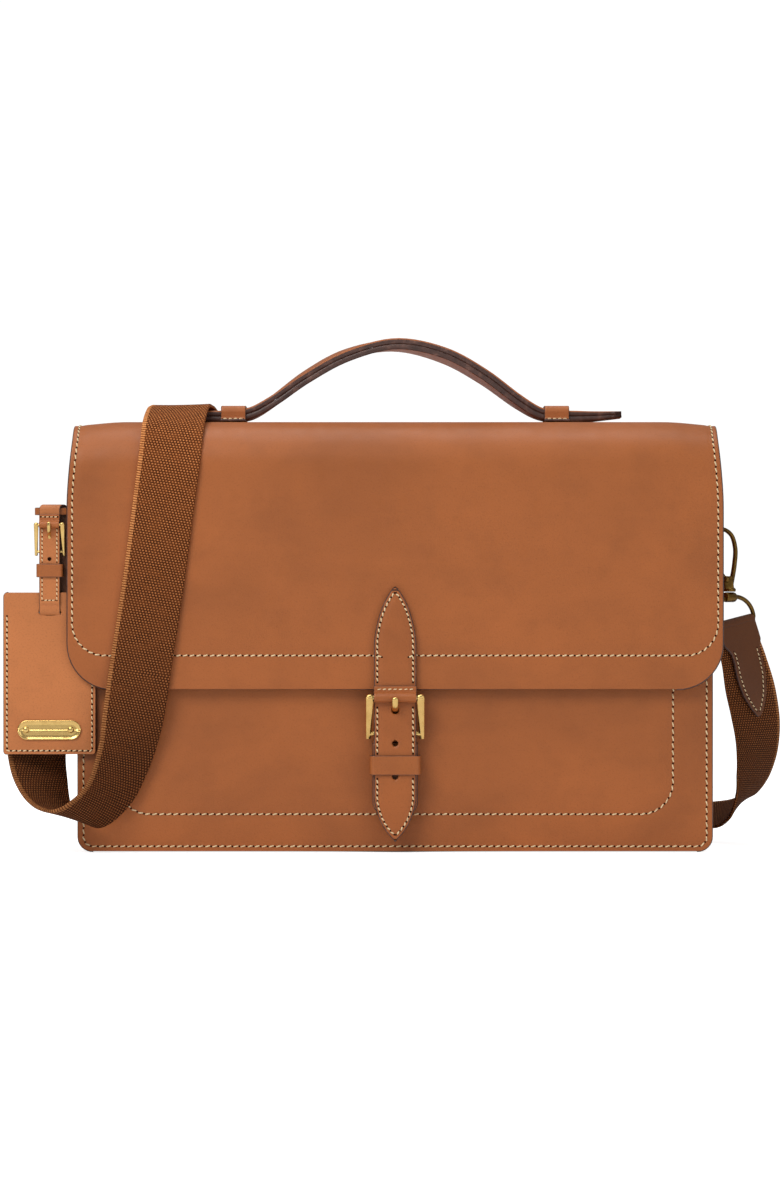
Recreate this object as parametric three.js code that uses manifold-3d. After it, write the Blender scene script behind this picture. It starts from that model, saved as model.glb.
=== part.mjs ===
// A leather briefcase with a flap, an arched top handle, a buckled closure strap,
// a hooked shoulder strap and a luggage tag. Millimetres, +Z up, +X right, front toward -Y.
// The origin is the centre of the bag's underside.
import * as THREE from 'three';
import { mergeVertices } from 'three/addons/utils/BufferGeometryUtils.js';
import Module from 'manifold-3d';

const wasm = await Module();
wasm.setup();

// Bag body
const HALF_WIDTH = 198;
const HALF_DEPTH = 44;
const LEATHER = 2.4;
const FRONT_TOP = 250;
const BACK_TOP = 255.4;
const CORNER = 9;
const GAP = 0.3;
const GUSSET_HALF_WIDTH = 196.5;
const GUSSET_WALL = 2;
const SEAM_FLANGE = 10;
const SEAM_FLANGE_THICKNESS = 1.8;
const LINING = 0.8;
const BOARD = 2.4;

// Flap
const FLAP_TOP = 269;
const FLAP_EDGE = 101.7;
const FLAP_FRONT = -53.5;
const FLAP_LEATHER = 2;
const FLAP_FACING = 1;
const FLAP_TOP_HALF = 201;
const FLAP_HALF = 204;
const FLAP_CORNER = 28;
const FLAP_FRONT_BEND = 28;
const FLAP_BACK_BEND = 13;
const FLAP_HEEL = 255.8;

// Closure strap, its buckle and its under-layer
const STRAP_HALF = 13.25;
const STRAP_BACK = -53.8;
const STRAP_FRONT = -58;
const STRAP_TOP = 166.8;
const STRAP_TIP = 6.8;
const STRAP_HOLES = [68.2, 47.7];
const PRONG_HOLE = 86.8;
const BUCKLE = {
  x: 0,
  heel: { y: -50.6, z: 74, radius: 1.5 },
  top: { y: -60.8, z: 96.5, radius: 1.4 },
  inner: 13.8,
  outer: 18.4,
  thickness: 3.2,
  roll: 2.5,
  flangeTop: 103.5,
};
const CHAPE_HALF = 14;
const CHAPE_BOTTOM = 24;

// Handle and its keepers
const HANDLE_LINE = [[0, 318.7], [31, 312], [56, 298.5], [78, 282.6], [91, 275.2], [102, 273.2], [120, 273], [142.9, 274.2]];
const HANDLE_HALF_THICKNESS = 3.6;
const HANDLE_WIDTH = 25;
const HANDLE_SPAN = 142.9;
const KEEPER_X = 102;
const KEEPER_LENGTH = 16;
const KEEPER_TOP = 279.5;
const KEEPER_WALL = 1.3;

// Shoulder strap and side hardware
const WEBBING_WIDTH = 38;
const WEBBING_THICKNESS = 2.5;
const TAB_THICKNESS = 2.2;
const RUN_STEPS = 124;
const TAB_STEPS = 8;
const SWIVEL_X = 212.1;
const RING_BAR = { x: 201.3, z: 218, radius: 1.5 };
const RING_HALF = 19;
const RING_BOW_BOTTOM = 196.4;
const RING_TILT = 0.23;
const EYE_BAR_Z = 141;
const EYE_TOP = 158.7;
const EYE_TURN = 0.75;
const EYE_TILT = 0.17;
const GATE_PIN = new THREE.Vector3(SWIVEL_X - 2, 0, 170);

// Luggage tag
const TAG_LEFT = -243.7;
const TAG_RIGHT = -185.8;
const TAG_BOTTOM = 60.8;
const TAG_TOP = 162;
const TAG_FRONT = -48.8;
const TAG_LAYER = 1.6;
const TAG_STRAP_X = -214.6;
const TAG_STRAP_HALF = 6.5;
const TAG_STRAP_THICKNESS = 1.6;
const TAG_STRAP_BOTTOM = 147;
const TAG_STRAP_TOP = 216.4;

const TAG_BUCKLE = {
  x: TAG_STRAP_X,
  heel: { y: -47.2, z: 187, radius: 0.9 },
  top: { y: -53, z: 203.5, radius: 0.9 },
  inner: 6.9,
  outer: 9.6,
  thickness: 2,
  roll: 1.9,
  flangeTop: 210,
};

const COLOURS = { leather: 0xa8683b, edge: 0x5f3b2c, lining: 0x6b5138, webbing: 0x5a3520, brass: 0xc9a461, bronze: 0x6b4a2a };

const parts = new THREE.Group();

function addPart(name, geometry, colour) {
  const mesh = new THREE.Mesh(geometry, new THREE.MeshStandardMaterial({ color: colour }));
  mesh.name = name;
  parts.add(mesh);
}

// ---- shapes ----

function roundedRect(x0, x1, y0, y1, lower, upper = lower) {
  const shape = new THREE.Shape();
  shape.moveTo(x0 + lower, y0);
  shape.lineTo(x1 - lower, y0);
  if (lower) shape.absarc(x1 - lower, y0 + lower, lower, -Math.PI / 2, 0);
  shape.lineTo(x1, y1 - upper);
  if (upper) shape.absarc(x1 - upper, y1 - upper, upper, 0, Math.PI / 2);
  shape.lineTo(x0 + upper, y1);
  if (upper) shape.absarc(x0 + upper, y1 - upper, upper, Math.PI / 2, Math.PI);
  shape.lineTo(x0, y0 + lower);
  if (lower) shape.absarc(x0 + lower, y0 + lower, lower, Math.PI, 1.5 * Math.PI);
  return shape;
}

function addHole(shape, x, y, halfWidth, halfHeight = halfWidth) {
  const hole = new THREE.Path();
  hole.absellipse(x, y, halfWidth, halfHeight, 0, 2 * Math.PI);
  shape.holes.push(hole);
}

// ---- extrusions: an outline drawn in two axes, swept straight along the third ----

function extrude(shape, depth, curveSegments) {
  return new THREE.ExtrudeGeometry(shape, { depth, bevelEnabled: false, curveSegments });
}

// The outline is drawn in X and Z and fills y0 to y1.
function alongY(shape, y0, y1, curveSegments = 6) {
  return extrude(shape, y1 - y0, curveSegments).rotateX(Math.PI / 2).translate(0, y1, 0);
}

// The outline is drawn in Y and Z and fills x0 to x1.
function alongX(shape, x0, x1, curveSegments = 6) {
  const turn = new THREE.Matrix4().makeBasis(
    new THREE.Vector3(0, 1, 0), new THREE.Vector3(0, 0, 1), new THREE.Vector3(1, 0, 0));
  return extrude(shape, x1 - x0, curveSegments).applyMatrix4(turn).translate(x0, 0, 0);
}

// The outline is drawn in X and Y and fills z0 to z1.
function alongZ(shape, z0, z1, curveSegments = 6) {
  return extrude(shape, z1 - z0, curveSegments).translate(0, 0, z0);
}

function rod(from, to, radius, sides = 12) {
  const axis = new THREE.Vector3().subVectors(to, from);
  const geometry = new THREE.CylinderGeometry(radius, radius, axis.length(), sides);
  const turn = new THREE.Quaternion().setFromUnitVectors(new THREE.Vector3(0, 1, 0), axis.clone().normalize());
  return geometry.applyQuaternion(turn).translate(
    (from.x + to.x) / 2, (from.y + to.y) / 2, (from.z + to.z) / 2);
}

// ---- swept pieces: one ring of corners at each station along a line ----

function skinRings(rings, closed) {
  const sides = rings[0].length;
  const positions = rings.flat().flatMap((p) => [p.x, p.y, p.z]);
  const index = [];
  const last = closed ? rings.length : rings.length - 1;
  for (let i = 0; i < last; i++) {
    const next = (i + 1) % rings.length;
    for (let k = 0; k < sides; k++) {
      const a = i * sides + k;
      const b = i * sides + (k + 1) % sides;
      const c = next * sides + k;
      const d = next * sides + (k + 1) % sides;
      index.push(a, b, d, a, d, c);
    }
  }
  if (!closed) {
    const end = (rings.length - 1) * sides;
    for (let k = 1; k < sides - 1; k++) {
      index.push(0, k + 1, k);
      index.push(end, end + k, end + k + 1);
    }
  }
  const corner = (n) => new THREE.Vector3().fromArray(positions, 3 * n);
  let volume = 0;
  for (let n = 0; n < index.length; n += 3) {
    volume += corner(index[n]).dot(corner(index[n + 1]).cross(corner(index[n + 2])));
  }
  const geometry = new THREE.BufferGeometry();
  geometry.setAttribute('position', new THREE.Float32BufferAttribute(positions, 3));
  geometry.setIndex(volume < 0 ? index.reverse() : index);
  return geometry;
}

// A wire bent in one plane; normal is that plane's normal, and radius may change along it.
function wire(points, normal, radius, { closed = false, sides = 8 } = {}) {
  const radiusAt = typeof radius === 'function' ? radius : () => radius;
  const count = points.length;
  const rings = points.map((point, i) => {
    const before = points[closed ? (i + count - 1) % count : Math.max(i - 1, 0)];
    const after = points[closed ? (i + 1) % count : Math.min(i + 1, count - 1)];
    const tangent = new THREE.Vector3().subVectors(after, before).normalize();
    const side = new THREE.Vector3().crossVectors(normal, tangent);
    const ring = [];
    for (let k = 0; k < sides; k++) {
      const angle = (k + 0.5) * 2 * Math.PI / sides;
      ring.push(point.clone()
        .addScaledVector(side, Math.cos(angle) * radiusAt(i / (count - 1)))
        .addScaledVector(normal, -Math.sin(angle) * radiusAt(i / (count - 1))));
    }
    return ring;
  });
  return skinRings(rings, closed);
}

// A flat strip: each station has a centre, the direction and half of its width, and its low and high faces.
function strip(stations) {
  const rings = stations.map((station, i) => {
    const before = stations[Math.max(i - 1, 0)].centre;
    const after = stations[Math.min(i + 1, stations.length - 1)].centre;
    const tangent = new THREE.Vector3().subVectors(after, before).normalize();
    const across = station.across.clone().normalize();
    const up = new THREE.Vector3().crossVectors(tangent, across).normalize();
    return [[-1, station.low], [1, station.low], [1, station.high], [-1, station.high]].map(([s, height]) =>
      station.centre.clone().addScaledVector(across, s * station.half).addScaledVector(up, height));
  });
  return skinRings(rings, false);
}

// ---- booleans ----

function solid(geometry) {
  const plain = geometry.clone();
  plain.deleteAttribute('normal');
  plain.deleteAttribute('uv');
  const merged = mergeVertices(plain, 1e-4);
  return new wasm.Manifold(new wasm.Mesh({
    numProp: 3,
    vertProperties: new Float32Array(merged.attributes.position.array),
    triVerts: new Uint32Array(merged.index.array),
  }));
}

function fromSolid(body) {
  const mesh = body.getMesh();
  const geometry = new THREE.BufferGeometry();
  geometry.setAttribute('position', new THREE.Float32BufferAttribute(mesh.vertProperties, 3));
  geometry.setIndex(Array.from(mesh.triVerts));
  return geometry;
}

function unite(...geometries) {
  return fromSolid(geometries.map(solid).reduce((all, next) => all.add(next)));
}

function cut(geometry, ...cutters) {
  return fromSolid(cutters.map(solid).reduce((left, next) => left.subtract(next), solid(geometry)));
}

function common(a, b) {
  return fromSolid(solid(a).intersect(solid(b)));
}

// ---- bag body ----

function addPanels() {
  const front = roundedRect(-HALF_WIDTH, HALF_WIDTH, 0, FRONT_TOP, CORNER, 4);
  addPart('front_panel', alongY(front, -HALF_DEPTH, -HALF_DEPTH + LEATHER), COLOURS.leather);
  const back = roundedRect(-HALF_WIDTH, HALF_WIDTH, 0, BACK_TOP, CORNER, 0);
  addPart('back_panel', alongY(back, HALF_DEPTH - LEATHER, HALF_DEPTH), COLOURS.leather);
}

// An open-topped U whose outline is a rounded rectangle, with a wall of the given thickness.
function uStrip(halfWidth, bottom, top, radius, wall, y0, y1) {
  const outer = roundedRect(-halfWidth, halfWidth, bottom, top, radius, 0);
  const innerRadius = Math.max(radius - wall, 1);
  const inner = roundedRect(-halfWidth + wall, halfWidth - wall, bottom + wall, top + 1, innerRadius, 0);
  return cut(alongY(outer, y0, y1), alongY(inner, y0 - 1, y1 + 1));
}

function addGusset() {
  const edge = HALF_DEPTH - LEATHER - GAP;
  const inside = edge - SEAM_FLANGE_THICKNESS;
  const wall = uStrip(GUSSET_HALF_WIDTH, 0, FRONT_TOP - 4, CORNER - 1, GUSSET_WALL, -edge, edge);
  const flange = (y0, y1) => uStrip(GUSSET_HALF_WIDTH, 0, FRONT_TOP - 4, CORNER - 1, SEAM_FLANGE, y0, y1);
  addPart('gusset', unite(wall, flange(-edge, -inside), flange(inside, edge)), COLOURS.leather);
}

const INSIDE_HALF_DEPTH = HALF_DEPTH - LEATHER - GAP - SEAM_FLANGE_THICKNESS - GAP;
const INSIDE_HALF_WIDTH = GUSSET_HALF_WIDTH - GUSSET_WALL - GAP;
const LINING_BOTTOM = GUSSET_WALL + GAP + BOARD + GAP;

function addInside() {
  const board = roundedRect(-184, 184, GUSSET_WALL + GAP, LINING_BOTTOM - GAP, 0);
  addPart('bottom_board', alongY(board, -INSIDE_HALF_DEPTH, INSIDE_HALF_DEPTH), COLOURS.lining);

  const skin = roundedRect(-INSIDE_HALF_WIDTH, INSIDE_HALF_WIDTH, LINING_BOTTOM, FRONT_TOP - 8, 6, 0);
  const room = roundedRect(
    -INSIDE_HALF_WIDTH + LINING, INSIDE_HALF_WIDTH - LINING, LINING_BOTTOM + LINING, FRONT_TOP, 5, 0);
  const reach = INSIDE_HALF_DEPTH - LINING;
  addPart('lining',
    cut(alongY(skin, -INSIDE_HALF_DEPTH, INSIDE_HALF_DEPTH), alongY(room, -reach, reach)), COLOURS.lining);

  const width = INSIDE_HALF_WIDTH - LINING - GAP;
  const divider = roundedRect(-width, width, LINING_BOTTOM + LINING + GAP, 225, 6, 6);
  addPart('divider', alongY(divider, -1, 1), COLOURS.leather);

  const pocket = roundedRect(-176, 176, 20, 190, 20, 2);
  addPart('slip_pocket', alongY(pocket, -reach + GAP, -reach + GAP + 1.4), COLOURS.lining);
}

// ---- flap ----

// The flap's section in Y and Z: up from the heel, over the top and down the front.
function flapSection(inset, thickness) {
  const front = FLAP_FRONT + inset;
  const back = HALF_DEPTH - inset;
  const top = FLAP_TOP - inset;
  const section = new THREE.Shape();
  const frontBend = FLAP_FRONT_BEND - inset;
  const backBend = FLAP_BACK_BEND - inset;
  section.moveTo(back, FLAP_HEEL);
  section.absarc(back - backBend, top - backBend, backBend, 0, Math.PI / 2);
  section.absarc(front + frontBend, top - frontBend, frontBend, Math.PI / 2, Math.PI);
  section.lineTo(front, FLAP_EDGE);
  section.lineTo(front + thickness, FLAP_EDGE);
  section.absarc(front + frontBend, top - frontBend, frontBend - thickness, Math.PI, Math.PI / 2, true);
  section.absarc(back - backBend, top - backBend, backBend - thickness, Math.PI / 2, 0, true);
  section.lineTo(back - thickness, FLAP_HEEL);
  return section;
}

// The flap seen from the front, a little narrower over the top.
function flapOutline(inset) {
  const outline = new THREE.Shape();
  const bottom = FLAP_EDGE + inset;
  const half = FLAP_HALF - inset;
  const topHalf = FLAP_TOP_HALF - inset;
  outline.moveTo(-half + FLAP_CORNER, bottom);
  outline.lineTo(half - FLAP_CORNER, bottom);
  outline.absarc(half - FLAP_CORNER, bottom + FLAP_CORNER, FLAP_CORNER, -Math.PI / 2, 0);
  outline.lineTo(half, 220);
  outline.lineTo(topHalf, FLAP_TOP - 10);
  outline.lineTo(topHalf, FLAP_TOP + 10);
  outline.lineTo(-topHalf, FLAP_TOP + 10);
  outline.lineTo(-topHalf, FLAP_TOP - 10);
  outline.lineTo(-half, 220);
  outline.absarc(-half + FLAP_CORNER, bottom + FLAP_CORNER, FLAP_CORNER, Math.PI, 1.5 * Math.PI);
  return outline;
}

function flapLayer(sectionInset, thickness, outlineInset) {
  const sweep = alongX(flapSection(sectionInset, thickness), -FLAP_HALF - 5, FLAP_HALF + 5, 8);
  return common(sweep, alongY(flapOutline(outlineInset), -HALF_DEPTH - 30, HALF_DEPTH + 10, 8));
}

function addFlap() {
  addPart('flap', flapLayer(0, FLAP_LEATHER, 0), COLOURS.leather);
  addPart('flap_facing', flapLayer(FLAP_LEATHER + GAP, FLAP_FACING, 1), COLOURS.lining);
}

// ---- closure ----

function closureStrapShape() {
  const shape = new THREE.Shape();
  const shoulder = STRAP_TOP - 35;
  const foot = STRAP_TIP + 26;
  shape.moveTo(0, STRAP_TIP);
  shape.quadraticCurveTo(STRAP_HALF * 0.8, STRAP_TIP + 8, STRAP_HALF, foot);
  shape.lineTo(STRAP_HALF, shoulder);
  shape.quadraticCurveTo(STRAP_HALF * 0.8, STRAP_TOP - 12, 0, STRAP_TOP);
  shape.quadraticCurveTo(-STRAP_HALF * 0.8, STRAP_TOP - 12, -STRAP_HALF, shoulder);
  shape.lineTo(-STRAP_HALF, foot);
  shape.quadraticCurveTo(-STRAP_HALF * 0.8, STRAP_TIP + 8, 0, STRAP_TIP);
  for (const z of STRAP_HOLES) addHole(shape, 0, z, 2);
  addHole(shape, 0, PRONG_HOLE, 2.2, 4.4);
  return shape;
}

function addClosureStrap() {
  addPart('closure_strap', alongY(closureStrapShape(), STRAP_FRONT, STRAP_BACK), COLOURS.leather);
}

function addChape() {
  const { heel } = BUCKLE;
  const plate = roundedRect(-CHAPE_HALF, CHAPE_HALF, CHAPE_BOTTOM, heel.z - 2, 7, 0);
  const back = STRAP_BACK + GAP + 2.5;
  const roll = new THREE.Shape().absarc(heel.y, heel.z, 2.9, 0, 2 * Math.PI);
  const bore = new THREE.Shape().absarc(heel.y, heel.z, 1.8, 0, 2 * Math.PI);
  const prongSlot = roundedRect(-2.4, 2.4, heel.z - 4.5, heel.z + 6, 0);
  const blank = unite(
    alongY(plate, STRAP_BACK + GAP, back), alongX(roll, -12.6, 12.6, 8));
  addPart('closure_chape',
    cut(blank, alongX(bore, -20, 20, 8), alongY(prongSlot, -60, -40)), COLOURS.leather);

  const stud = new THREE.Shape().absarc(0, 40, 6.5, 0, 2 * Math.PI);
  addPart('snap_stud', alongY(stud, back + GAP, -HALF_DEPTH - 2), COLOURS.brass);
  const socket = new THREE.Shape().absarc(0, 40, 8, 0, 2 * Math.PI);
  addPart('snap_socket', alongY(socket, -HALF_DEPTH - 1.7, -HALF_DEPTH - GAP), COLOURS.brass);
}

function addStrapKeeper() {
  const loop = roundedRect(-15.75, 15.75, -59.8, -49.1, 2);
  const inner = roundedRect(-14.3, 14.3, -58.4, -50.5, 1);
  addPart('strap_keeper', cut(alongZ(loop, 48.4, 60.8, 3), alongZ(inner, 40, 70, 3)), COLOURS.edge);
}

// The buckle leans forward: its heel bar lies behind the strap and its top bar in front of it.
function buckleFrame(buckle) {
  const { heel, top, inner, outer, thickness } = buckle;
  const reach = Math.hypot(top.z - heel.z, top.y - heel.y);
  const lean = Math.atan2(heel.y - top.y, top.z - heel.z);
  const knob = (outer - inner) / 2;
  const leg = new THREE.Shape();
  leg.moveTo(inner + knob * 0.5, -1.3 * heel.radius);
  leg.lineTo(outer - knob * 0.3, -1.3 * heel.radius);
  leg.lineTo(outer, reach);
  leg.absarc(inner + knob, reach, knob, 0, Math.PI);
  const blade = alongY(leg, -thickness / 2, thickness / 2).rotateX(lean).translate(0, heel.y, heel.z);
  const at = (bar, x) => new THREE.Vector3(x, bar.y, bar.z);
  const bar = (place) => rod(at(place, -inner - knob), at(place, inner + knob), place.radius);
  return unite(blade, mirrored(blade), bar(heel), bar(top)).translate(buckle.x, 0, 0);
}

// A leather roll round the buckle's top bar, sewn to itself above the bar.
function barWrap(buckle, strapFront) {
  const { top, roll, inner, flangeTop } = buckle;
  const outside = new THREE.Shape().absarc(top.y, top.z, roll, 0, 2 * Math.PI);
  const bore = new THREE.Shape().absarc(top.y, top.z, top.radius + GAP, 0, 2 * Math.PI);
  const flange = roundedRect(top.y + 0.3, strapFront - GAP, top.z, flangeTop, 0);
  const half = inner - 0.5;
  return cut(unite(alongX(outside, -half, half, 8), alongX(flange, -half, half)), alongX(bore, -30, 30, 8))
    .translate(buckle.x, 0, 0);
}

function curvePoints(corners, count) {
  const curve = new THREE.CatmullRomCurve3(corners.map((c) => new THREE.Vector3(...c)));
  return curve.getPoints(count);
}

// A prong turns on the heel bar, passes up through the strap and rests on the roll.
function prong(buckle, line, radius, halfKnuckle, knuckleRadius) {
  const { heel } = buckle;
  const end = (x) => new THREE.Vector3(x, heel.y, heel.z);
  const shank = wire(curvePoints(line.map(([y, z]) => [0, y, z]), 12), new THREE.Vector3(1, 0, 0), radius);
  const knuckle = rod(end(-halfKnuckle), end(halfKnuckle), knuckleRadius, 16);
  const bore = rod(end(-10), end(10), heel.radius + GAP, 16);
  return cut(unite(shank, knuckle), bore).translate(buckle.x, 0, 0);
}

function addBuckle() {
  addPart('buckle_frame', buckleFrame(BUCKLE), COLOURS.brass);
  addPart('buckle_bar_wrap', barWrap(BUCKLE, STRAP_FRONT), COLOURS.leather);
  const line = [
    [-51.4, 76.4], [-51.4, 80.4], [-52, 84], [-55, 87.2], [-59.6, 89.6], [-63.6, 91.9], [-65.1, 95.2], [-65.2, 99]];
  addPart('buckle_prong', prong(BUCKLE, line, 1.2, 1.9, 3), COLOURS.brass);
}

// ---- handle ----

function handleStations(low, high) {
  const half = HANDLE_LINE.slice(1);
  const corners = [...half.map(([x, z]) => [-x, 0, z]).reverse(), [0, 0, HANDLE_LINE[0][1]],
    ...half.map(([x, z]) => [x, 0, z])];
  return curvePoints(corners, 48).map((centre) => {
    const toEnd = Math.min((HANDLE_SPAN - Math.abs(centre.x)) / 30, 1);
    const share = 0.54 + 0.46 * toEnd;
    const across = new THREE.Vector3(0, 1, 0);
    return { centre, across, half: HANDLE_WIDTH / 2, low: low * share, high: high * share };
  });
}

function addHandle() {
  const half = HANDLE_HALF_THICKNESS;
  addPart('handle_outer', strip(handleStations(GAP / 2, half)), COLOURS.leather);
  addPart('handle_inner', strip(handleStations(-half, -GAP / 2)), COLOURS.leather);
}

function addHandleKeeper(name, x) {
  const bottom = FLAP_TOP + GAP;
  const inside = HANDLE_WIDTH / 2 + 0.4;
  const outside = inside + KEEPER_WALL;
  const foot = outside + 7;
  const loop = new THREE.Shape();
  loop.moveTo(-foot, bottom);
  loop.lineTo(-inside, bottom);
  loop.lineTo(-inside, KEEPER_TOP - KEEPER_WALL);
  loop.lineTo(inside, KEEPER_TOP - KEEPER_WALL);
  loop.lineTo(inside, bottom);
  loop.lineTo(foot, bottom);
  loop.lineTo(foot, bottom + 1.8);
  loop.lineTo(outside, bottom + 1.8);
  loop.absarc(outside - 2, KEEPER_TOP - 2, 2, 0, Math.PI / 2);
  loop.absarc(-outside + 2, KEEPER_TOP - 2, 2, Math.PI / 2, Math.PI);
  loop.lineTo(-outside, bottom + 1.8);
  loop.lineTo(-foot, bottom + 1.8);
  addPart(name, alongX(loop, x - KEEPER_LENGTH / 2, x + KEEPER_LENGTH / 2, 3), COLOURS.edge);
}

// ---- side rings, hooks and eyes: drawn for the right side and mirrored for the left ----

function mirrored(geometry) {
  const copy = (geometry.index ? geometry.toNonIndexed() : geometry.clone()).scale(-1, 1, 1);
  const order = [...Array(copy.attributes.position.count).keys()].reverse();
  copy.setIndex(order);
  return copy;
}

function addSide(name, geometry, colour) {
  addPart(`${name}_right`, geometry, colour);
  addPart(`${name}_left`, fromSolid(solid(mirrored(geometry))), colour);
}

function ringTab() {
  const inner = GUSSET_HALF_WIDTH + GAP;
  const roll = new THREE.Shape().absarc(RING_BAR.x, RING_BAR.z, 3.4, 0, 2 * Math.PI);
  const bore = new THREE.Shape().absarc(RING_BAR.x, RING_BAR.z, 2, 0, 2 * Math.PI);
  const plate = roundedRect(inner, inner + 3, RING_BAR.z, 246, 0);
  return cut(unite(alongY(roll, -11, 11, 8), alongY(plate, -11, 11)), alongY(bore, -20, 20, 8));
}

// The ring leans outward, drawn by the strap's hook.
function ring() {
  const half = RING_HALF;
  const points = [[half, RING_BAR.z - 2.5], [half - 2.5, RING_BAR.z], [-half + 2.5, RING_BAR.z], [-half, RING_BAR.z - 2.5]]
    .map(([y, z]) => new THREE.Vector3(RING_BAR.x, y, z));
  const drop = RING_BAR.z - 2.5 - RING_BOW_BOTTOM;
  for (let k = 1; k < 12; k++) {
    const angle = Math.PI + k * Math.PI / 12;
    points.push(new THREE.Vector3(
      RING_BAR.x, half * Math.cos(angle), RING_BAR.z - 2.5 + drop * Math.sin(angle)));
  }
  return wire(points, new THREE.Vector3(1, 0, 0), RING_BAR.radius, { closed: true })
    .translate(-RING_BAR.x, 0, -RING_BAR.z).rotateY(-RING_TILT).translate(RING_BAR.x, 0, RING_BAR.z);
}

// A snap hook: an arc that rises from the collar, passes over the ring's bow and ends above the gate.
function hook() {
  const corners = [
    [0, 162.5], [1.6, 170], [3.2, 180], [3.6, 190], [0.8, 198.6], [-4.8, 201.8], [-8.8, 197.6], [-8.9, 190.2]];
  const line = curvePoints(corners.map(([x, z]) => [SWIVEL_X + x, 0, z]), 20);
  const arc = wire(line, new THREE.Vector3(0, 1, 0), (share) => 1.6 - 0.6 * share ** 2);
  const collar = rod(new THREE.Vector3(SWIVEL_X, 0, 162.2), new THREE.Vector3(SWIVEL_X, 0, 165.5), 4);
  const cheek = roundedRect(SWIVEL_X - 4.2, SWIVEL_X + 3.4, 164, 174, 1, 3.2);
  const slot = roundedRect(SWIVEL_X - 8, SWIVEL_X + 0.6, 166.4, 178, 0);
  return unite(
    cut(unite(arc, collar, alongY(cheek, -3.4, 3.4, 3)), alongY(slot, -1.8, 1.8)),
    rod(GATE_PIN.clone().setY(-4), GATE_PIN.clone().setY(4), 0.9, 10));
}

// The gate turns on the hook's rivet and closes the gap below the hook's tip.
function gate() {
  const corners = [[-2.4, 170], [-6.4, 176], [-8.8, 182], [-9, 189.6]];
  const line = curvePoints(corners.map(([x, z]) => [SWIVEL_X + x, 0, z]), 8);
  const arm = wire(line, new THREE.Vector3(0, 1, 0), (share) => 1.3 - 0.3 * share);
  const eye = rod(GATE_PIN.clone().setY(-1.4), GATE_PIN.clone().setY(1.4), 2.2, 16);
  const bore = rod(GATE_PIN.clone().setY(-3), GATE_PIN.clone().setY(3), 1.2, 16);
  return cut(unite(arm, eye), bore);
}

// A point on the eye's loop: a runs along its bar. The loop is turned about the swivel and tilted about the barrel.
function onEye(a, z, side = 1) {
  const drop = EYE_TOP - z;
  const out = a * Math.cos(EYE_TILT) + drop * Math.sin(EYE_TILT);
  const up = a * Math.sin(EYE_TILT) - drop * Math.cos(EYE_TILT);
  return new THREE.Vector3(side * (SWIVEL_X + out * Math.cos(EYE_TURN)), out * Math.sin(EYE_TURN), EYE_TOP + up);
}

// The eye: a barrel that carries the swivel, and a loop whose straight bar holds the leather tab.
function eye() {
  const half = 20.5;
  const loop = [[-half, EYE_BAR_Z + 2], [-half + 2, EYE_BAR_Z], [half - 2, EYE_BAR_Z], [half, EYE_BAR_Z + 2]];
  for (let k = 1; k < 10; k++) {
    const angle = k * Math.PI / 10;
    loop.push([half * Math.cos(angle), EYE_BAR_Z + 2 + (EYE_TOP - EYE_BAR_Z - 2) * Math.sin(angle)]);
  }
  const out = new THREE.Vector3(Math.sin(EYE_TURN), -Math.cos(EYE_TURN), 0);
  const way = new THREE.Vector3(Math.cos(EYE_TURN), Math.sin(EYE_TURN), 0);
  const middle = new THREE.Vector3(SWIVEL_X, 0, EYE_TOP);
  const barrel = rod(middle.clone().addScaledVector(way, -4.5), middle.clone().addScaledVector(way, 4.5), 3.2);
  return unite(wire(loop.map(([a, z]) => onEye(a, z)), out, 1.5, { closed: true }), barrel);
}

function addSideHardware() {
  addSide('ring_tab', ringTab(), COLOURS.leather);
  addSide('side_ring', ring(), COLOURS.bronze);
  addSide('hook', hook(), COLOURS.bronze);
  addSide('gate', gate(), COLOURS.bronze);
  addSide('eye', eye(), COLOURS.bronze);
}

// ---- shoulder strap ----

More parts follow.
